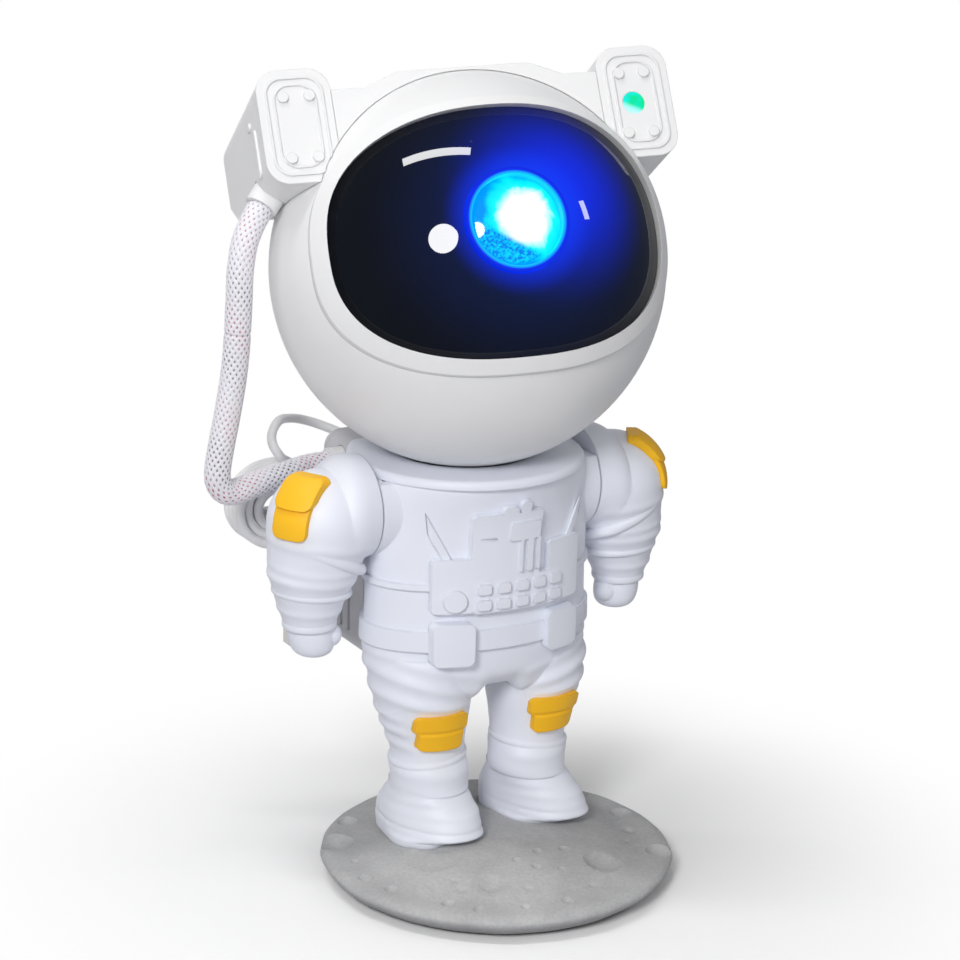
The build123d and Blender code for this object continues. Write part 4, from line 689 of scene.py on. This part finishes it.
class Finish(Enum):
    """Every finish of the projector that needs no measured place."""

    SHELL = MouldedPlastic("abs_white_satin", "#f0f0f0", "#ebebec")
    SUIT = MouldedPlastic("abs_cool_white_satin", "#eef1fa", "#e9ecf6", roughness=0.46, edge_mm=0.7)
    PATCH = MouldedPlastic("soft_vinyl_amber", "#ffc616", "#ffbc0a", roughness=0.52, grain_mm=0.7, edge_mm=0.5)
    # The backpack's grey is painted shade: white plastic toned down for the shadow that falls on it between the arms
    # and the torso.
    PACK = MouldedPlastic("abs_white_satin_painted_shade", "#cbcbcf", "#c0c0c5")
    GREY_BUTTON = MouldedPlastic("silicone_light_grey", "#bfc0c4", "#b4b5ba", roughness=0.6)
    BLACK = MouldedPlastic("abs_black_fine_texture", "#18181a", "#101012", roughness=0.4, edge_mm=0.2)
    CORD = MouldedPlastic("soft_pvc_white_sheath", "#fafafa", "#f2f2f4", roughness=0.5, edge_mm=0.2)
    PAD = MouldedPlastic("foam_rubber_black", "#232325", "#1a1a1c", roughness=0.85, grain_mm=0.8, edge_mm=0.3)
    BOARD = MouldedPlastic("epoxy_glass_board_green", "#1f6a3c", "#185a33", roughness=0.35, edge_mm=0.1)
    RIPPLE = MouldedPlastic("clear_acrylic_ripple", "#c9dcea", "#bcd2e4", roughness=0.12, edge_mm=0.2, coat=0.5)
    STEEL = TurnedMetal("zinc_plated_steel", "#b9bcc0")
    NICKEL = TurnedMetal("nickel_plated_steel", "#cfcdc6", roughness=0.16)
    ALUMINIUM = TurnedMetal("extruded_aluminium", "#c3c6c9", roughness=0.35)
    RESIN = MoonResin()
    BRAID = Braid()


class Wardrobe:
    """Builds each finish once and hands it out."""

    def __init__(self) -> None:
        """Start with no finish built."""
        self._built: dict[str, Material] = {}

    def get(self, finish: Finish) -> Material:
        """Return a finish's material, building it on first use.

        Args:
            finish: The finish.

        Returns:
            Its material.
        """
        if finish.name not in self._built:
            self._built[finish.name] = finish.value.build()
        return self._built[finish.name]


# --- stage
@dataclass(frozen=True)
class Lamp:
    """One soft lamp: its direction and distance from the visor, its edges, its power and its colour."""

    name: str
    towards: Point
    distance: float
    size: Span
    watts: float
    shape: str = "RECTANGLE"
    along: Point = (1.0, 0.0, 0.0)
    tint: str = WHITE
    in_gloss: bool = True


@dataclass
class Stage:
    """The camera, the pale floor and the soft light.

    The camera's place and directions, and the visor that the lamps face, are in the frame's axes.
    """

    eye: Point = (-380.597, -663.004, 344.398)
    right: Point = (0.87459, -0.48438, 0.02179)
    up: Point = (0.12270, 0.26457, 0.95653)
    back: Point = (-0.46910, -0.83390, 0.29080)
    lens: float = 112.64
    sensor: float = 36.0
    clip_end: float = 20000.0
    floor_half: float = 3000.0
    card_radii: Point = (120.0, 400.0, 1000.0)
    card_columns: int = 72
    card_lift: float = 1.0
    dome_radius: float = 1600.0
    dome_angles: Span = (0.5, 89.5)
    dome_rows: int = 28
    shadow_reach: Span = (50.0, 165.0)
    ambient: float = 0.36
    visor: Point = (-25.0, -14.0, 188.0)
    lamps: tuple[Lamp, ...] = (
        Lamp("key_round_softbox", (-0.623, -0.62, 0.478), 1100, (330, 330), 6.6, "DISK"),
        Lamp("ceiling_tube", (-0.276, 0.061, 0.959), 900, (525, 85), 2.5, along=(0.466, -0.32, 0.16)),
        Lamp("rear_ceiling_tube", (-0.08, 0.463, 0.883), 900, (430, 26), 0.4, along=(0.401, -0.22, 0.151)),
        Lamp("low_front_softbox", (-0.15, -0.86, -0.17), 800, (460, 460), 1.05, in_gloss=False),
        Lamp("window_slit", (0.75, -0.466, 0.47), 1000, (60, 150), 0.35, along=(0.5, 0.6, -0.3)),
    )

    def camera(self) -> None:
        """Set up the camera."""
        data = bpy.data.cameras.new("viewpoint")
        data.lens, data.sensor_width, data.clip_end = self.lens, self.sensor, self.clip_end * MM
        camera = put_in_scene("viewpoint", data)
        turn = Matrix((self.right, self.up, self.back)).transposed().to_4x4()
        camera.matrix_world = Matrix.Translation(Vector(self.eye) * MM) @ turn
        bpy.context.scene.camera = camera

    def floor(self) -> None:
        """Lay a pale table top that the camera sees as white paper, with the projector's shadow on it."""
        s = self.floor_half
        corners = np.array([[[-s, -s, 0], [s, -s, 0]], [[-s, s, 0], [s, s, 0]]], float)
        mesh = surface_mesh("table_top", corners, False, False)
        put_in_scene("table_top", mesh, PaperTop(self.shadow_reach).build())

    def room(self) -> None:
        """Lay a card round the projector and arch it over it, seen by gloss alone, so the visor stays black.

        Its rings are circles of r * (cos a, sin a) on the table, and then those of a dome.
        """
        around = np.radians(np.linspace(0, 360, self.card_columns, endpoint=False))[None, :]
        rise = np.radians(np.linspace(*self.dome_angles, self.dome_rows))
        out = np.append(self.card_radii, self.dome_radius * np.cos(rise))[:, None]
        up = np.append([self.card_lift] * len(self.card_radii), self.dome_radius * np.sin(rise))[:, None]
        points = np.stack([out * np.cos(around), out * np.sin(around), up + 0 * around], axis=-1)
        room = put_in_scene("dark_card", surface_mesh("dark_card", points, True, False), RoomCard().build())
        for flag in ("camera", "diffuse", "transmission", "shadow", "volume_scatter"):
            setattr(room, "visible_" + flag, False)

    def world(self) -> None:
        """Fill the surroundings with even light, white where the camera, gloss and glass see it."""
        world = bpy.data.worlds.new("studio")
        world.use_nodes = True
        bpy.context.scene.world = world
        add = node_adder(world.node_tree)
        level = add("MapRange", Value=backdrop_rays(add), To_Min=self.ambient, To_Max=1.0)
        add("OutputWorld", Surface=add("Background", Color=WHITE, Strength=level))

    def lamp(self, lamp: Lamp) -> None:
        """Hang one soft lamp along its direction from the visor, facing the visor.

        Args:
            lamp: The lamp.
        """
        data = bpy.data.lights.new(lamp.name, "AREA")
        data.shape = lamp.shape
        data.size, data.size_y = lamp.size[0] * MM, lamp.size[1] * MM
        data.energy, data.color = lamp.watts, linear(lamp.tint)[:3]
        hung = put_in_scene(lamp.name, data)
        hung.visible_glossy = lamp.in_gloss
        towards = Vector(lamp.towards).normalized()
        along = Vector(lamp.along)
        side = (along - towards * along.dot(towards)).normalized()
        turn = Matrix((side, towards.cross(side), towards)).transposed().to_4x4()
        hung.matrix_world = Matrix.Translation((Vector(self.visor) + towards * lamp.distance) * MM) @ turn

    def build(self) -> None:
        """Set up everything that isn't the projector."""
        self.camera()
        self.world()
        self.floor()
        self.room()
        for lamp in self.lamps:
            self.lamp(lamp)
        bpy.context.scene.view_settings.view_transform = "Standard"


# --- cords
@dataclass
class BraidedSleeve:
    """The plaited sleeve that takes the head's wires to the backpack, in two lengths."""

    radius: float = 3.6
    strands: int = 13
    pitch: float = 2.3
    strand_share: float = 0.35
    relief: float = 0.32
    row_step: float = 0.29
    columns: int = 104
    ridge_dip: float = 0.22
    end_fade: float = 0.6
    wire_shares: Span = (0.19, 0.3)
    wire_shows: Span = (34.0, 48.0)
    wire_turn: float = 24.0
    bend_start: float = 110.0
    upper: tuple[Point, ...] = (
        (-54.6, 36.3, 183.4), (-59.4, 34.6, 178.0), (-62.0, 33.2, 169.0), (-62.4, 32.9, 159.5), (-62.8, 33.1, 151.25))
    lower: tuple[Point, ...] = (
        (-62.8, 33.1, 151.25), (-63.2, 33.3, 143.0), (-65.2, 33.9, 130.0), (-67.6, 34.5, 117.5), (-68.2, 34.9, 110.6),
        (-64.4, 35.8, 106.4), (-56.0, 37.8, 107.6), (-42.0, 43.0, 107.9), (-36.0, 46.5, 107.8), (-29.4, 46.5, 107.8))

    def tube(self, name: str, corners: tuple[Point, ...], ends_here: bool) -> tuple[Object, np.ndarray]:
        """Weave one length round its route.

        Two families of strands wind in opposite directions, at whole values of the phases
        n*u/turn + v/pitch and n*u/turn - v/pitch. Each strand's height is a half ellipse across it, and
        it rises and dips as it passes over and under the other family.

        Args:
            name: The piece's name.
            corners: The route's corners, in millimetres.
            ends_here: Whether the joint of the two lengths is this one's end, and not its start.

        Returns:
            The piece and the points that it follows.
        """
        line, along = evenly_spaced(spline_line(np.array(corners)), self.row_step)
        across, over = side_frames(line, (0.0, 1.0, 0.0))
        u = np.linspace(0, math.tau, self.columns, endpoint=False)[None, :]
        v = (along - along[-1] if ends_here else along)[:, None]
        first = self.strands * u / math.tau + v / self.pitch
        second = self.strands * u / math.tau - v / self.pitch
        heights = []
        for phase, sign in ((first, 1.0), (second, -1.0)):
            distance = np.abs(phase - np.round(phase)) / self.strand_share
            ridge = np.sqrt(np.clip(1 - distance**2, 0, 1))
            heights.append(ridge * (1 - self.ridge_dip + self.ridge_dip * sign * np.cos(math.pi * (first + second))))
        height = np.maximum(heights[0], heights[1])
        fade = np.clip(np.minimum(along, along[-1] - along) / self.end_fade, 0, 1)[:, None]
        radius = self.radius - self.relief + self.relief * height * fade
        ring = across[:, None] * np.cos(u)[..., None] + over[:, None] * np.sin(u)[..., None]
        mesh = surface_mesh(name, line[:, None] + ring * radius[..., None], True, True)
        always, below = self.wire_shares
        share = always + below * ease(v, *self.wire_shows)
        wire = 0.5 + share * np.cos(u + v * math.tau / self.wire_turn)
        for label, values in (("gap", 1 - height), ("wire", np.broadcast_to(wire, height.shape))):
            layer = mesh.attributes.new(label, "FLOAT", "POINT")
            layer.data.foreach_set("value", np.append(values.ravel(), [0, 0]).astype(np.float32))
        LOG.info("%s: %.1f mm", name, along[-1])
        return put_in_scene(name, mesh), line * MM

    def build(self, wardrobe: Wardrobe) -> None:
        """Args:
            wardrobe: Hands out the finishes.
        """
        upper = self.tube("sleeve_braid_upper", self.upper, True)[0]
        lower, lower_path = self.tube("sleeve_braid_lower", self.lower, False)
        for piece in (upper, lower):
            piece.data.materials.append(wardrobe.get(Finish.BRAID))
        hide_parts("braided_sleeve_upper")
        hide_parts("braided_sleeve_lower")
        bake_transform(lower)
        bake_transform(upper)


@dataclass
class SupplyCord:
    """The white supply cord: a loop over the backpack, a tied hank, and a plug that hangs from it."""

    diameter: float = 2.6
    spline_steps: int = 6
    bevel_steps: int = 4
    centre: Point = (-40.6, 56.6, 95.2)
    start_angle: float = 62.0
    layer_change_rate: float = 8.0
    layers: tuple[Span, ...] = ((12.9, 11.2), (10.1, 8.7), (7.4, 6.2))
    turns_per_layer: int = 4
    points_per_turn: int = 16
    lead: tuple[Point, ...] = (
        (-11.2, 59.0, 107.2), (-11.2, 65.0, 107.2), (-13.3, 69.4, 108.4), (-17.0, 72.7, 110.0), (-21.8, 74.0, 112.0),
        (-26.6, 72.2, 113.8), (-30.6, 68.2, 115.4), (-39.2, 58.4, 118.6), (-43.05, 55.6, 114.0), (-41.0, 52.6, 109.2))
    tail: tuple[Point, ...] = ((-33.5, 56.0, 86.4), (-33.5, 56.0, 80.2))

    def hank(self) -> np.ndarray:
        """Wind the hank as an oval helix that goes back and forth through three layers.

        Half widths shrink by about a diameter from layer to layer, and the depth moves by a diameter in a turn.

        Returns:
            Points along the cord in millimetres.
        """
        per, count = self.points_per_turn, len(self.layers)
        turns = np.arange(self.turns_per_layer * count * per + 1) / per
        sweep = turns / self.turns_per_layer
        layer = np.clip(sweep - 0.5, 0, count - 1)
        low = np.floor(layer)
        nearest = low + np.clip((layer - low - 0.5) * self.layer_change_rate + 0.5, 0, 1)
        half_width, half_height = (np.interp(nearest, range(count), halves) for halves in zip(*self.layers))
        reach = self.turns_per_layer * self.diameter / 2
        depth = reach * (2 * np.abs((sweep + 1) % 2 - 1) - 1)
        angle = math.radians(self.start_angle) - math.tau * turns
        x, y, z = self.centre
        return np.stack([x + half_width * np.cos(angle), y - depth, z + half_height * np.sin(angle)], axis=1)

    def build(self, wardrobe: Wardrobe) -> None:
        """Lay the cord as one curve in place of the imported cord's pieces.

        Args:
            wardrobe: Hands out the finishes.
        """
        corners = np.vstack([self.lead, self.hank(), self.tail])
        curve = open_spline("supply_cord", corners, self.spline_steps)
        curve.bevel_depth, curve.bevel_resolution = self.diameter / 2 * MM, self.bevel_steps
        curve.use_fill_caps = True
        cord = put_in_scene("supply_cord", curve, wardrobe.get(Finish.CORD))
        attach(cord, "figure")
        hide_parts("usb_lead", "usb_coil", "usb_tail")
        line = spline_line(corners)


# --- reshaped copies
@dataclass(frozen=True)
class Rolls:
    """Soft rolls of suit cloth round one limb, as one row for each roll.

    A row has the roll's height, how far it leans, the angle that it leans to, its half width, how far it
    stands out, the angle where it is fullest, and how much it fades on the other side.
    """

    rows: tuple[tuple[float, ...], ...]

    def height(self, around: np.ndarray, z: np.ndarray) -> np.ndarray:
        """Add up the rolls, each a bell curve across its leaning middle line.

        Args:
            around: Angles round the limb.
            z: Heights in millimetres.

        Returns:
            How far each point stands out, in millimetres.
        """
        level, lean, towards, width, rise, full, fade = np.array(self.rows).T[:, :, None]
        middle = level + lean * np.cos(around - towards)
        strength = 1 - fade / 2 + fade / 2 * np.cos(around - full)
        return (rise * strength * np.exp(-(((z - middle) / width) ** 2))).sum(axis=0)


@dataclass
class ReshapedCopies:
    """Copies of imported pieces, finely divided within a band of heights and moved by a field of shifts.

    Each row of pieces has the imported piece, its copy's name and the body that it rides on.
    """

    pieces: tuple[Names, ...] = ()
    band: Span = (0.0, 0.0)
    longest_edge: float = 1.0
    finish: Finish = Finish.SUIT
    slot: str = "white_plastic"
    merge: float = 0.002
    rounds: int = 4
    sharp_angle: float = 34.0
    least_reach: float = 0.5

    def shift(self, points: np.ndarray) -> np.ndarray:
        """Give each point's displacement, in millimetres."""
        raise NotImplementedError

    def arrays(self, work: bmesh.types.BMesh) -> tuple[np.ndarray, np.ndarray, np.ndarray]:
        """Read a mesh of triangles as arrays.

        Args:
            work: The mesh, in metres.

        Returns:
            Its points in millimetres, the points of each edge and the points of each face.
        """
        mesh = bpy.data.meshes.new("reader")
        work.to_mesh(mesh)
        points = np.empty(len(mesh.vertices) * 3)
        edges = np.empty(len(mesh.edges) * 2, np.int32)
        faces = np.empty(len(mesh.loops), np.int32)
        mesh.vertices.foreach_get("co", points)
        mesh.edges.foreach_get("vertices", edges)
        mesh.loops.foreach_get("vertex_index", faces)
        bpy.data.meshes.remove(mesh)
        return points.reshape(-1, 3) / MM, edges.reshape(-1, 2), faces.reshape(-1, 3)

    def copy(self, node: Object, name: str) -> Object:
        """Merge a piece's corners, halve its long edges within the band until none is left, and reshape it.

        Args:
            node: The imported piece.
            name: The copy's name.

        Returns:
            The reshaped copy.
        """
        work = bmesh.new()
        work.from_mesh(node.data)
        work.transform(node.matrix_world)
        bmesh.ops.remove_doubles(work, verts=work.verts, dist=self.merge * MM)
        low, high = self.band
        for _ in range(self.rounds):
            points, edges, _ = self.arrays(work)
            first, second = points[edges[:, 0]], points[edges[:, 1]]
            middle = (first[:, 2] + second[:, 2]) / 2
            long = np.linalg.norm(first - second, axis=1) > self.longest_edge
            chosen = np.nonzero(long & (middle > low) & (middle < high))[0]
            if not len(chosen):
                break
            work.edges.ensure_lookup_table()
            bmesh.ops.subdivide_edges(work, edges=[work.edges[i] for i in chosen], cuts=1, use_grid_fill=True)
            bmesh.ops.triangulate(work, faces=[f for f in work.faces if len(f.verts) > 3])
        points, _, faces = self.arrays(work)
        work.free()
        mesh = bpy.data.meshes.new(name)
        mesh.from_pydata(((points + self.shift(points)) * MM).tolist(), [], faces.tolist())
        mesh.polygons.foreach_set("use_smooth", np.ones(len(faces), bool))
        mesh.set_sharp_from_angle(angle=math.radians(self.sharp_angle))
        mesh.update()
        LOG.info("%s: %d triangles", name, len(faces))
        return put_in_scene(name, mesh)

    def build(self, wardrobe: Wardrobe, nodes: dict[str, Object]) -> None:
        """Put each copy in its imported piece's place.

        Args:
            wardrobe: Hands out the finishes.
            nodes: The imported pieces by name.
        """
        for source, name, body in self.pieces:
            piece = self.copy(nodes[source], name)
            piece.data.materials.append(wardrobe.get(self.finish))
            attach(piece, body)
            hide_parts(source)


@dataclass
class Legs(ReshapedCopies):
    """The body's two shells, whose legs and boots carry the finer rolls of the suit's cloth.

    A span is where a share eases from none to all of its effect. The toe caps reach past the sockets in the
    base and rest on its top, and the seam between the legs reaches higher than the torso's underside.
    """

    pieces: tuple[Names, ...] = (
        ("body_front_shell", "suit_front", "figure"), ("body_rear_shell", "suit_rear", "figure"))
    band: Span = (12.0, 66.0)
    axis: tuple[Point, ...] = ((24.0, 15.5, 11.6), (35.0, 15.7, 12.0), (43.0, 16.6, 12.2), (50.0, 17.2, 12.6),
                               (57.0, 17.4, 13.6), (64.0, 17.0, 14.6))
    sole: Span = (12.6, 13.6)
    hip: Span = (62.0, 66.5)
    leg_aside: Span = (4.5, 9.0)
    right_toe: Point = (4.2, -5.6, 0.3)
    left_toe: Point = (3.2, -4.6, 0.3)
    toe_forward: Span = (14.0, -1.0)
    toe_sole: Span = (11.7, 12.7)
    toe_top: Span = (18.0, 26.0)
    toe_aside: Span = (3.0, 6.0)
    pad_behind: Span = (3.0, 7.0)
    pad_bottom: Span = (35.5, 38.0)
    pad_top: Span = (48.0, 50.5)
    crotch_lift: float = 3.6
    crotch_aside: Span = (3.0, 8.5)
    crotch_bottom: Span = (44.0, 50.0)
    crotch_top: Span = (50.0, 61.0)
    right_rolls: Rolls = Rolls((
        (30.6, 0.5, 2.0, 2.1, 0.95, -1.2, 0.4), (37.0, 1.2, 0.4, 1.4, 0.60, 0.3, 0.8),
        (41.2, 1.6, 0.2, 1.3, 0.75, 0.1, 0.9), (45.6, 1.6, 0.4, 1.3, 0.70, 0.6, 0.8),
        (50.4, 3.0, 0.2, 1.7, 0.90, -0.8, 0.6), (55.6, 4.2, 0.1, 1.8, 0.95, -0.6, 0.6),
        (61.0, 4.6, 0.1, 1.8, 0.80, -0.3, 0.7), (14.6, 0.0, 0.0, 0.5, -0.40, 0.0, 0.0),
        (18.6, 0.8, -1.6, 1.0, 0.35, -1.4, 1.0), (21.6, 0.9, -1.6, 0.9, 0.40, -1.4, 1.0)))
    left_rolls: Rolls = Rolls((
        (31.2, 0.6, 1.2, 2.1, 0.95, -1.6, 0.4), (37.2, 1.3, 2.6, 1.4, 0.60, 0.6, 0.8),
        (41.8, 1.4, 0.5, 1.4, 0.70, 0.2, 0.9), (46.0, 1.7, 0.2, 1.3, 0.70, 0.8, 0.8),
        (49.8, 2.8, 0.2, 1.6, 0.85, -1.1, 0.6), (54.8, 4.0, 0.1, 1.8, 0.95, -0.8, 0.6),
        (60.4, 4.6, 0.1, 1.8, 0.85, -0.2, 0.7), (14.6, 0.0, 0.0, 0.5, -0.40, 0.0, 0.0),
        (18.2, 0.8, -1.6, 1.0, 0.35, -1.5, 1.0), (21.2, 0.9, -1.6, 0.9, 0.40, -1.5, 1.0)))

    def shift(self, points: np.ndarray) -> np.ndarray:
        """Push the legs' points away from their leg's middle line by the rolls' height, but not under the pads.

        Args:
            points: Points in millimetres.

        Returns:
            Each point's displacement in millimetres.
        """
        x, y, z = points.T
        aside, right_side = np.abs(x), x < 0
        level, across, deep = np.array(self.axis).T
        dx, dy = aside - np.interp(z, level, across), y - np.interp(z, level, deep)
        reach, around = np.maximum(np.hypot(dx, dy), self.least_reach), np.arctan2(dy, dx)
        rolls = np.where(right_side, self.right_rolls.height(around, z), self.left_rolls.height(around, z))
        toe = ease(y, *self.toe_forward) * ease(z, *self.toe_sole) * (1 - ease(z, *self.toe_top))
        toe = toe * ease(aside, *self.toe_aside)
        moved = np.where(right_side[:, None], self.right_toe, self.left_toe) * toe[:, None]
        under_pad = (1 - ease(y, *self.pad_behind)) * ease(z, *self.pad_bottom) * (1 - ease(z, *self.pad_top))
        share = ease(aside, *self.leg_aside) * (1 - ease(z, *self.hip)) * ease(z, *self.sole) * (1 - under_pad)
        crotch = (1 - ease(aside, *self.crotch_aside)) * (1 - ease(z, *self.crotch_top))
        moved[:, 2] += self.crotch_lift * crotch * ease(z, *self.crotch_bottom)
        outwards = np.stack([np.sign(x) * dx, dy, np.zeros_like(z)], axis=1)
        return outwards * (rolls * share / reach)[:, None] + moved


@dataclass
class Arms(ReshapedCopies):
    """Both arms, whose forearms carry the finer rolls of the suit's cloth."""

    pieces: tuple[Names, ...] = (
        ("arm_right", "suit_arm_right", "arm_right"), ("arm_left", "suit_arm_left", "arm_left"))
    band: Span = (74.0, 101.0)
    axis: tuple[Span, ...] = ((74.0, 48.3), (80.2, 48.1), (87.2, 47.3), (94.2, 46.1), (99.2, 45.3))
    seam_y: float = 19.0
    wrist: Span = (74.5, 76.5)
    elbow: Span = (97.0, 101.0)
    arm_aside: Span = (35.0, 37.5)
    rolls: Rolls = Rolls((
        (77.6, 0.4, 0.5, 1.0, 0.45, -1.0, 0.5), (86.6, 0.9, 0.2, 1.4, 0.70, -0.8, 0.5),
        (89.8, 1.0, 0.4, 1.1, 0.45, -2.0, 0.8), (96.8, 1.6, 0.2, 1.5, 0.65, -0.9, 0.7)))

    def shift(self, points: np.ndarray) -> np.ndarray:
        """Push the forearms' points away from their arm's middle line, by the rolls' height.

        Args:
            points: Points in millimetres.

        Returns:
            Each point's displacement in millimetres.
        """
        x, y, z = points.T
        level, across = np.array(self.axis).T
        dx, dy = np.abs(x) - np.interp(z, level, across), y - self.seam_y
        reach = np.maximum(np.hypot(dx, dy), self.least_reach)
        rolls = self.rolls.height(np.arctan2(dy, dx), z)
        share = ease(z, *self.wrist) * (1 - ease(z, *self.elbow)) * ease(np.abs(x), *self.arm_aside)
        return np.stack([np.sign(x) * dx, dy, np.zeros_like(z)], axis=1) * (rolls * share / reach)[:, None]


@dataclass
class WornMoon(ReshapedCopies):
    """The moon base with an uneven rim and a foot drawn in under it.

    The wear is a sum of waves round the base, cos(n * angle + turn), and it only goes inwards.
    """

    pieces: tuple[Names, ...] = (("moon_base", "worn_moon", "base"),)
    band: Span = (0.0, 7.0)
    longest_edge: float = 1.4
    finish: Finish = Finish.RESIN
    slot: str = "base_grey"
    least_reach: float = 1.0
    wear: float = 0.9
    worn_from: Span = (44.0, 48.9)
    waves: tuple[Span, ...] = ((3, 0.4), (5, 2.1), (8, 4.0), (13, 1.2), (21, 5.1))
    foot_taper: float = 2.4
    foot_height: Span = (5.6, 0.6)
    foot_from: Span = (43.4, 46.0)

    def shift(self, points: np.ndarray) -> np.ndarray:
        """Move the rim's and the foot's points towards the base's middle.

        Args:
            points: Points in millimetres.

        Returns:
            Each point's displacement in millimetres.
        """
        x, y, z = points.T
        around, out = np.arctan2(y, x), np.maximum(np.hypot(x, y), self.least_reach)
        waves = sum(np.cos(n * around + turn) for n, turn in self.waves) / (2 * len(self.waves))
        worn = self.wear * (0.5 - waves) * ease(out, *self.worn_from)
        tapered = self.foot_taper * ease(z, *self.foot_height) * ease(out, *self.foot_from)
        inwards = -(worn + tapered) / out
        return np.stack([x * inwards, y * inwards, np.zeros_like(z)], axis=1)


@dataclass
class KneePads(ReshapedCopies):
    """The knee pads, with a level groove pressed across the front of each."""

    pieces: tuple[Names, ...] = (
        ("knee_pad_right", "soft_pad_right", "figure"), ("knee_pad_left", "soft_pad_left", "figure"))
    band: Span = (41.5, 45.1)
    longest_edge: float = 0.35
    finish: Finish = Finish.PATCH
    slot: str = "yellow_plastic"
    groove_level: float = 43.3
    groove_width: float = 0.5
    groove_depth: float = 0.42
    pad_front: Span = (0.5, 3.5)

    def shift(self, points: np.ndarray) -> np.ndarray:
        """Press the groove, as a bell curve across its middle line.

        Args:
            points: Points in millimetres.

        Returns:
            Each point's displacement in millimetres.
        """
        bell = np.exp(-(((points[:, 2] - self.groove_level) / self.groove_width) ** 2))
        pressed = self.groove_depth * (bell * (1 - ease(points[:, 1], *self.pad_front)))
        return np.stack([np.zeros(len(points)), pressed, np.zeros(len(points))], axis=1)


# --- rigid pieces
@dataclass
class RigidPieces:
    """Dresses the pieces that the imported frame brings."""

    head_centre: Point = (0.0, 23.0, 165.0)
    optic: Point = (-0.2139773, -0.8705433, 0.4431344)
    lens_reach: float = 52.2

    finishes: ClassVar[dict[Finish, tuple[str, ...]]] = {
        Finish.SHELL: ("head_front_shell", "head_rear_shell", "visor_bezel", "ear_right_housing",
                       "ear_left_housing", "ear_right_plate", "ear_left_plate", "head_crest",
                       "sleeve_gland_upper", "sleeve_gland_lower", "usb_gland"),
        Finish.SUIT: ("neck_cup",),
        Finish.PATCH: ("patch_right", "patch_left"),
        Finish.PACK: ("backpack_shell", "backpack_cover"),
        Finish.GREY_BUTTON: ("power_button", "nebula_button", "star_button", "brightness_button"),
        Finish.BLACK: ("magnet_retainer", "button_switches", "optics_chassis", "motor_shaft", "laser_module",
                       "base_cover"),
        Finish.CORD: ("cord_tie", "usb_plug"),
        Finish.PAD: ("base_pad",),
        Finish.BOARD: ("control_board", "led_board"),
        Finish.RIPPLE: ("ripple_disc", "collimator"),
        Finish.STEEL: ("base_screws", "base_ballast", "body_screws", "neck_magnet", "backpack_screws",
                       "head_screws", "head_steel_strap", "optics_screws", "motor"),
        Finish.NICKEL: ("usb_plug_shell",),
        Finish.ALUMINIUM: ("heat_sink",),
    }

    def wear(self, node: Object, material: Material) -> None:
        """Give one piece a single finish.

        Args:
            node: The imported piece.
            material: Its finish.
        """
        node.data.materials.clear()
        node.data.materials.append(material)
        LOG.info("%s: %s", node.name, material.name)

    def build(self, wardrobe: Wardrobe, nodes: dict[str, Object]) -> None:
        """Dress every piece by name, and the lit ones by their places.

        Args:
            wardrobe: Hands out the finishes.
            nodes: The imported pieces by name.
        """
        for finish, names in self.finishes.items():
            for name in names:
                self.wear(nodes[name], wardrobe.get(finish))
        spot = tuple(h + self.lens_reach * o for h, o in zip(self.head_centre, self.optic))
        self.wear(nodes["visor"], MirrorVisor(spot).build())
        self.wear(nodes["projection_lens"], NebulaLens(spot).build())
        self.wear(nodes["lens_barrel"], LitRing(spot).build())
        low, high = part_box("laser_window")
        self.wear(nodes["laser_window"], LaserWindow(tuple((low + high) / 2 / MM)).build())


def main() -> None:
    """Build the stage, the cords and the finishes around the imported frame."""
    logging.basicConfig(level=logging.INFO, format="%(message)s")
    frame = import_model()
    wardrobe = Wardrobe()
    Stage().build()
    BraidedSleeve().build(wardrobe)
    SupplyCord().build(wardrobe)
    RigidPieces().build(wardrobe, frame["nodes"])
    for copies in (Legs(), Arms(), WornMoon(), KneePads()):
        copies.build(wardrobe, frame["nodes"])


if __name__ == "__main__":
    main()
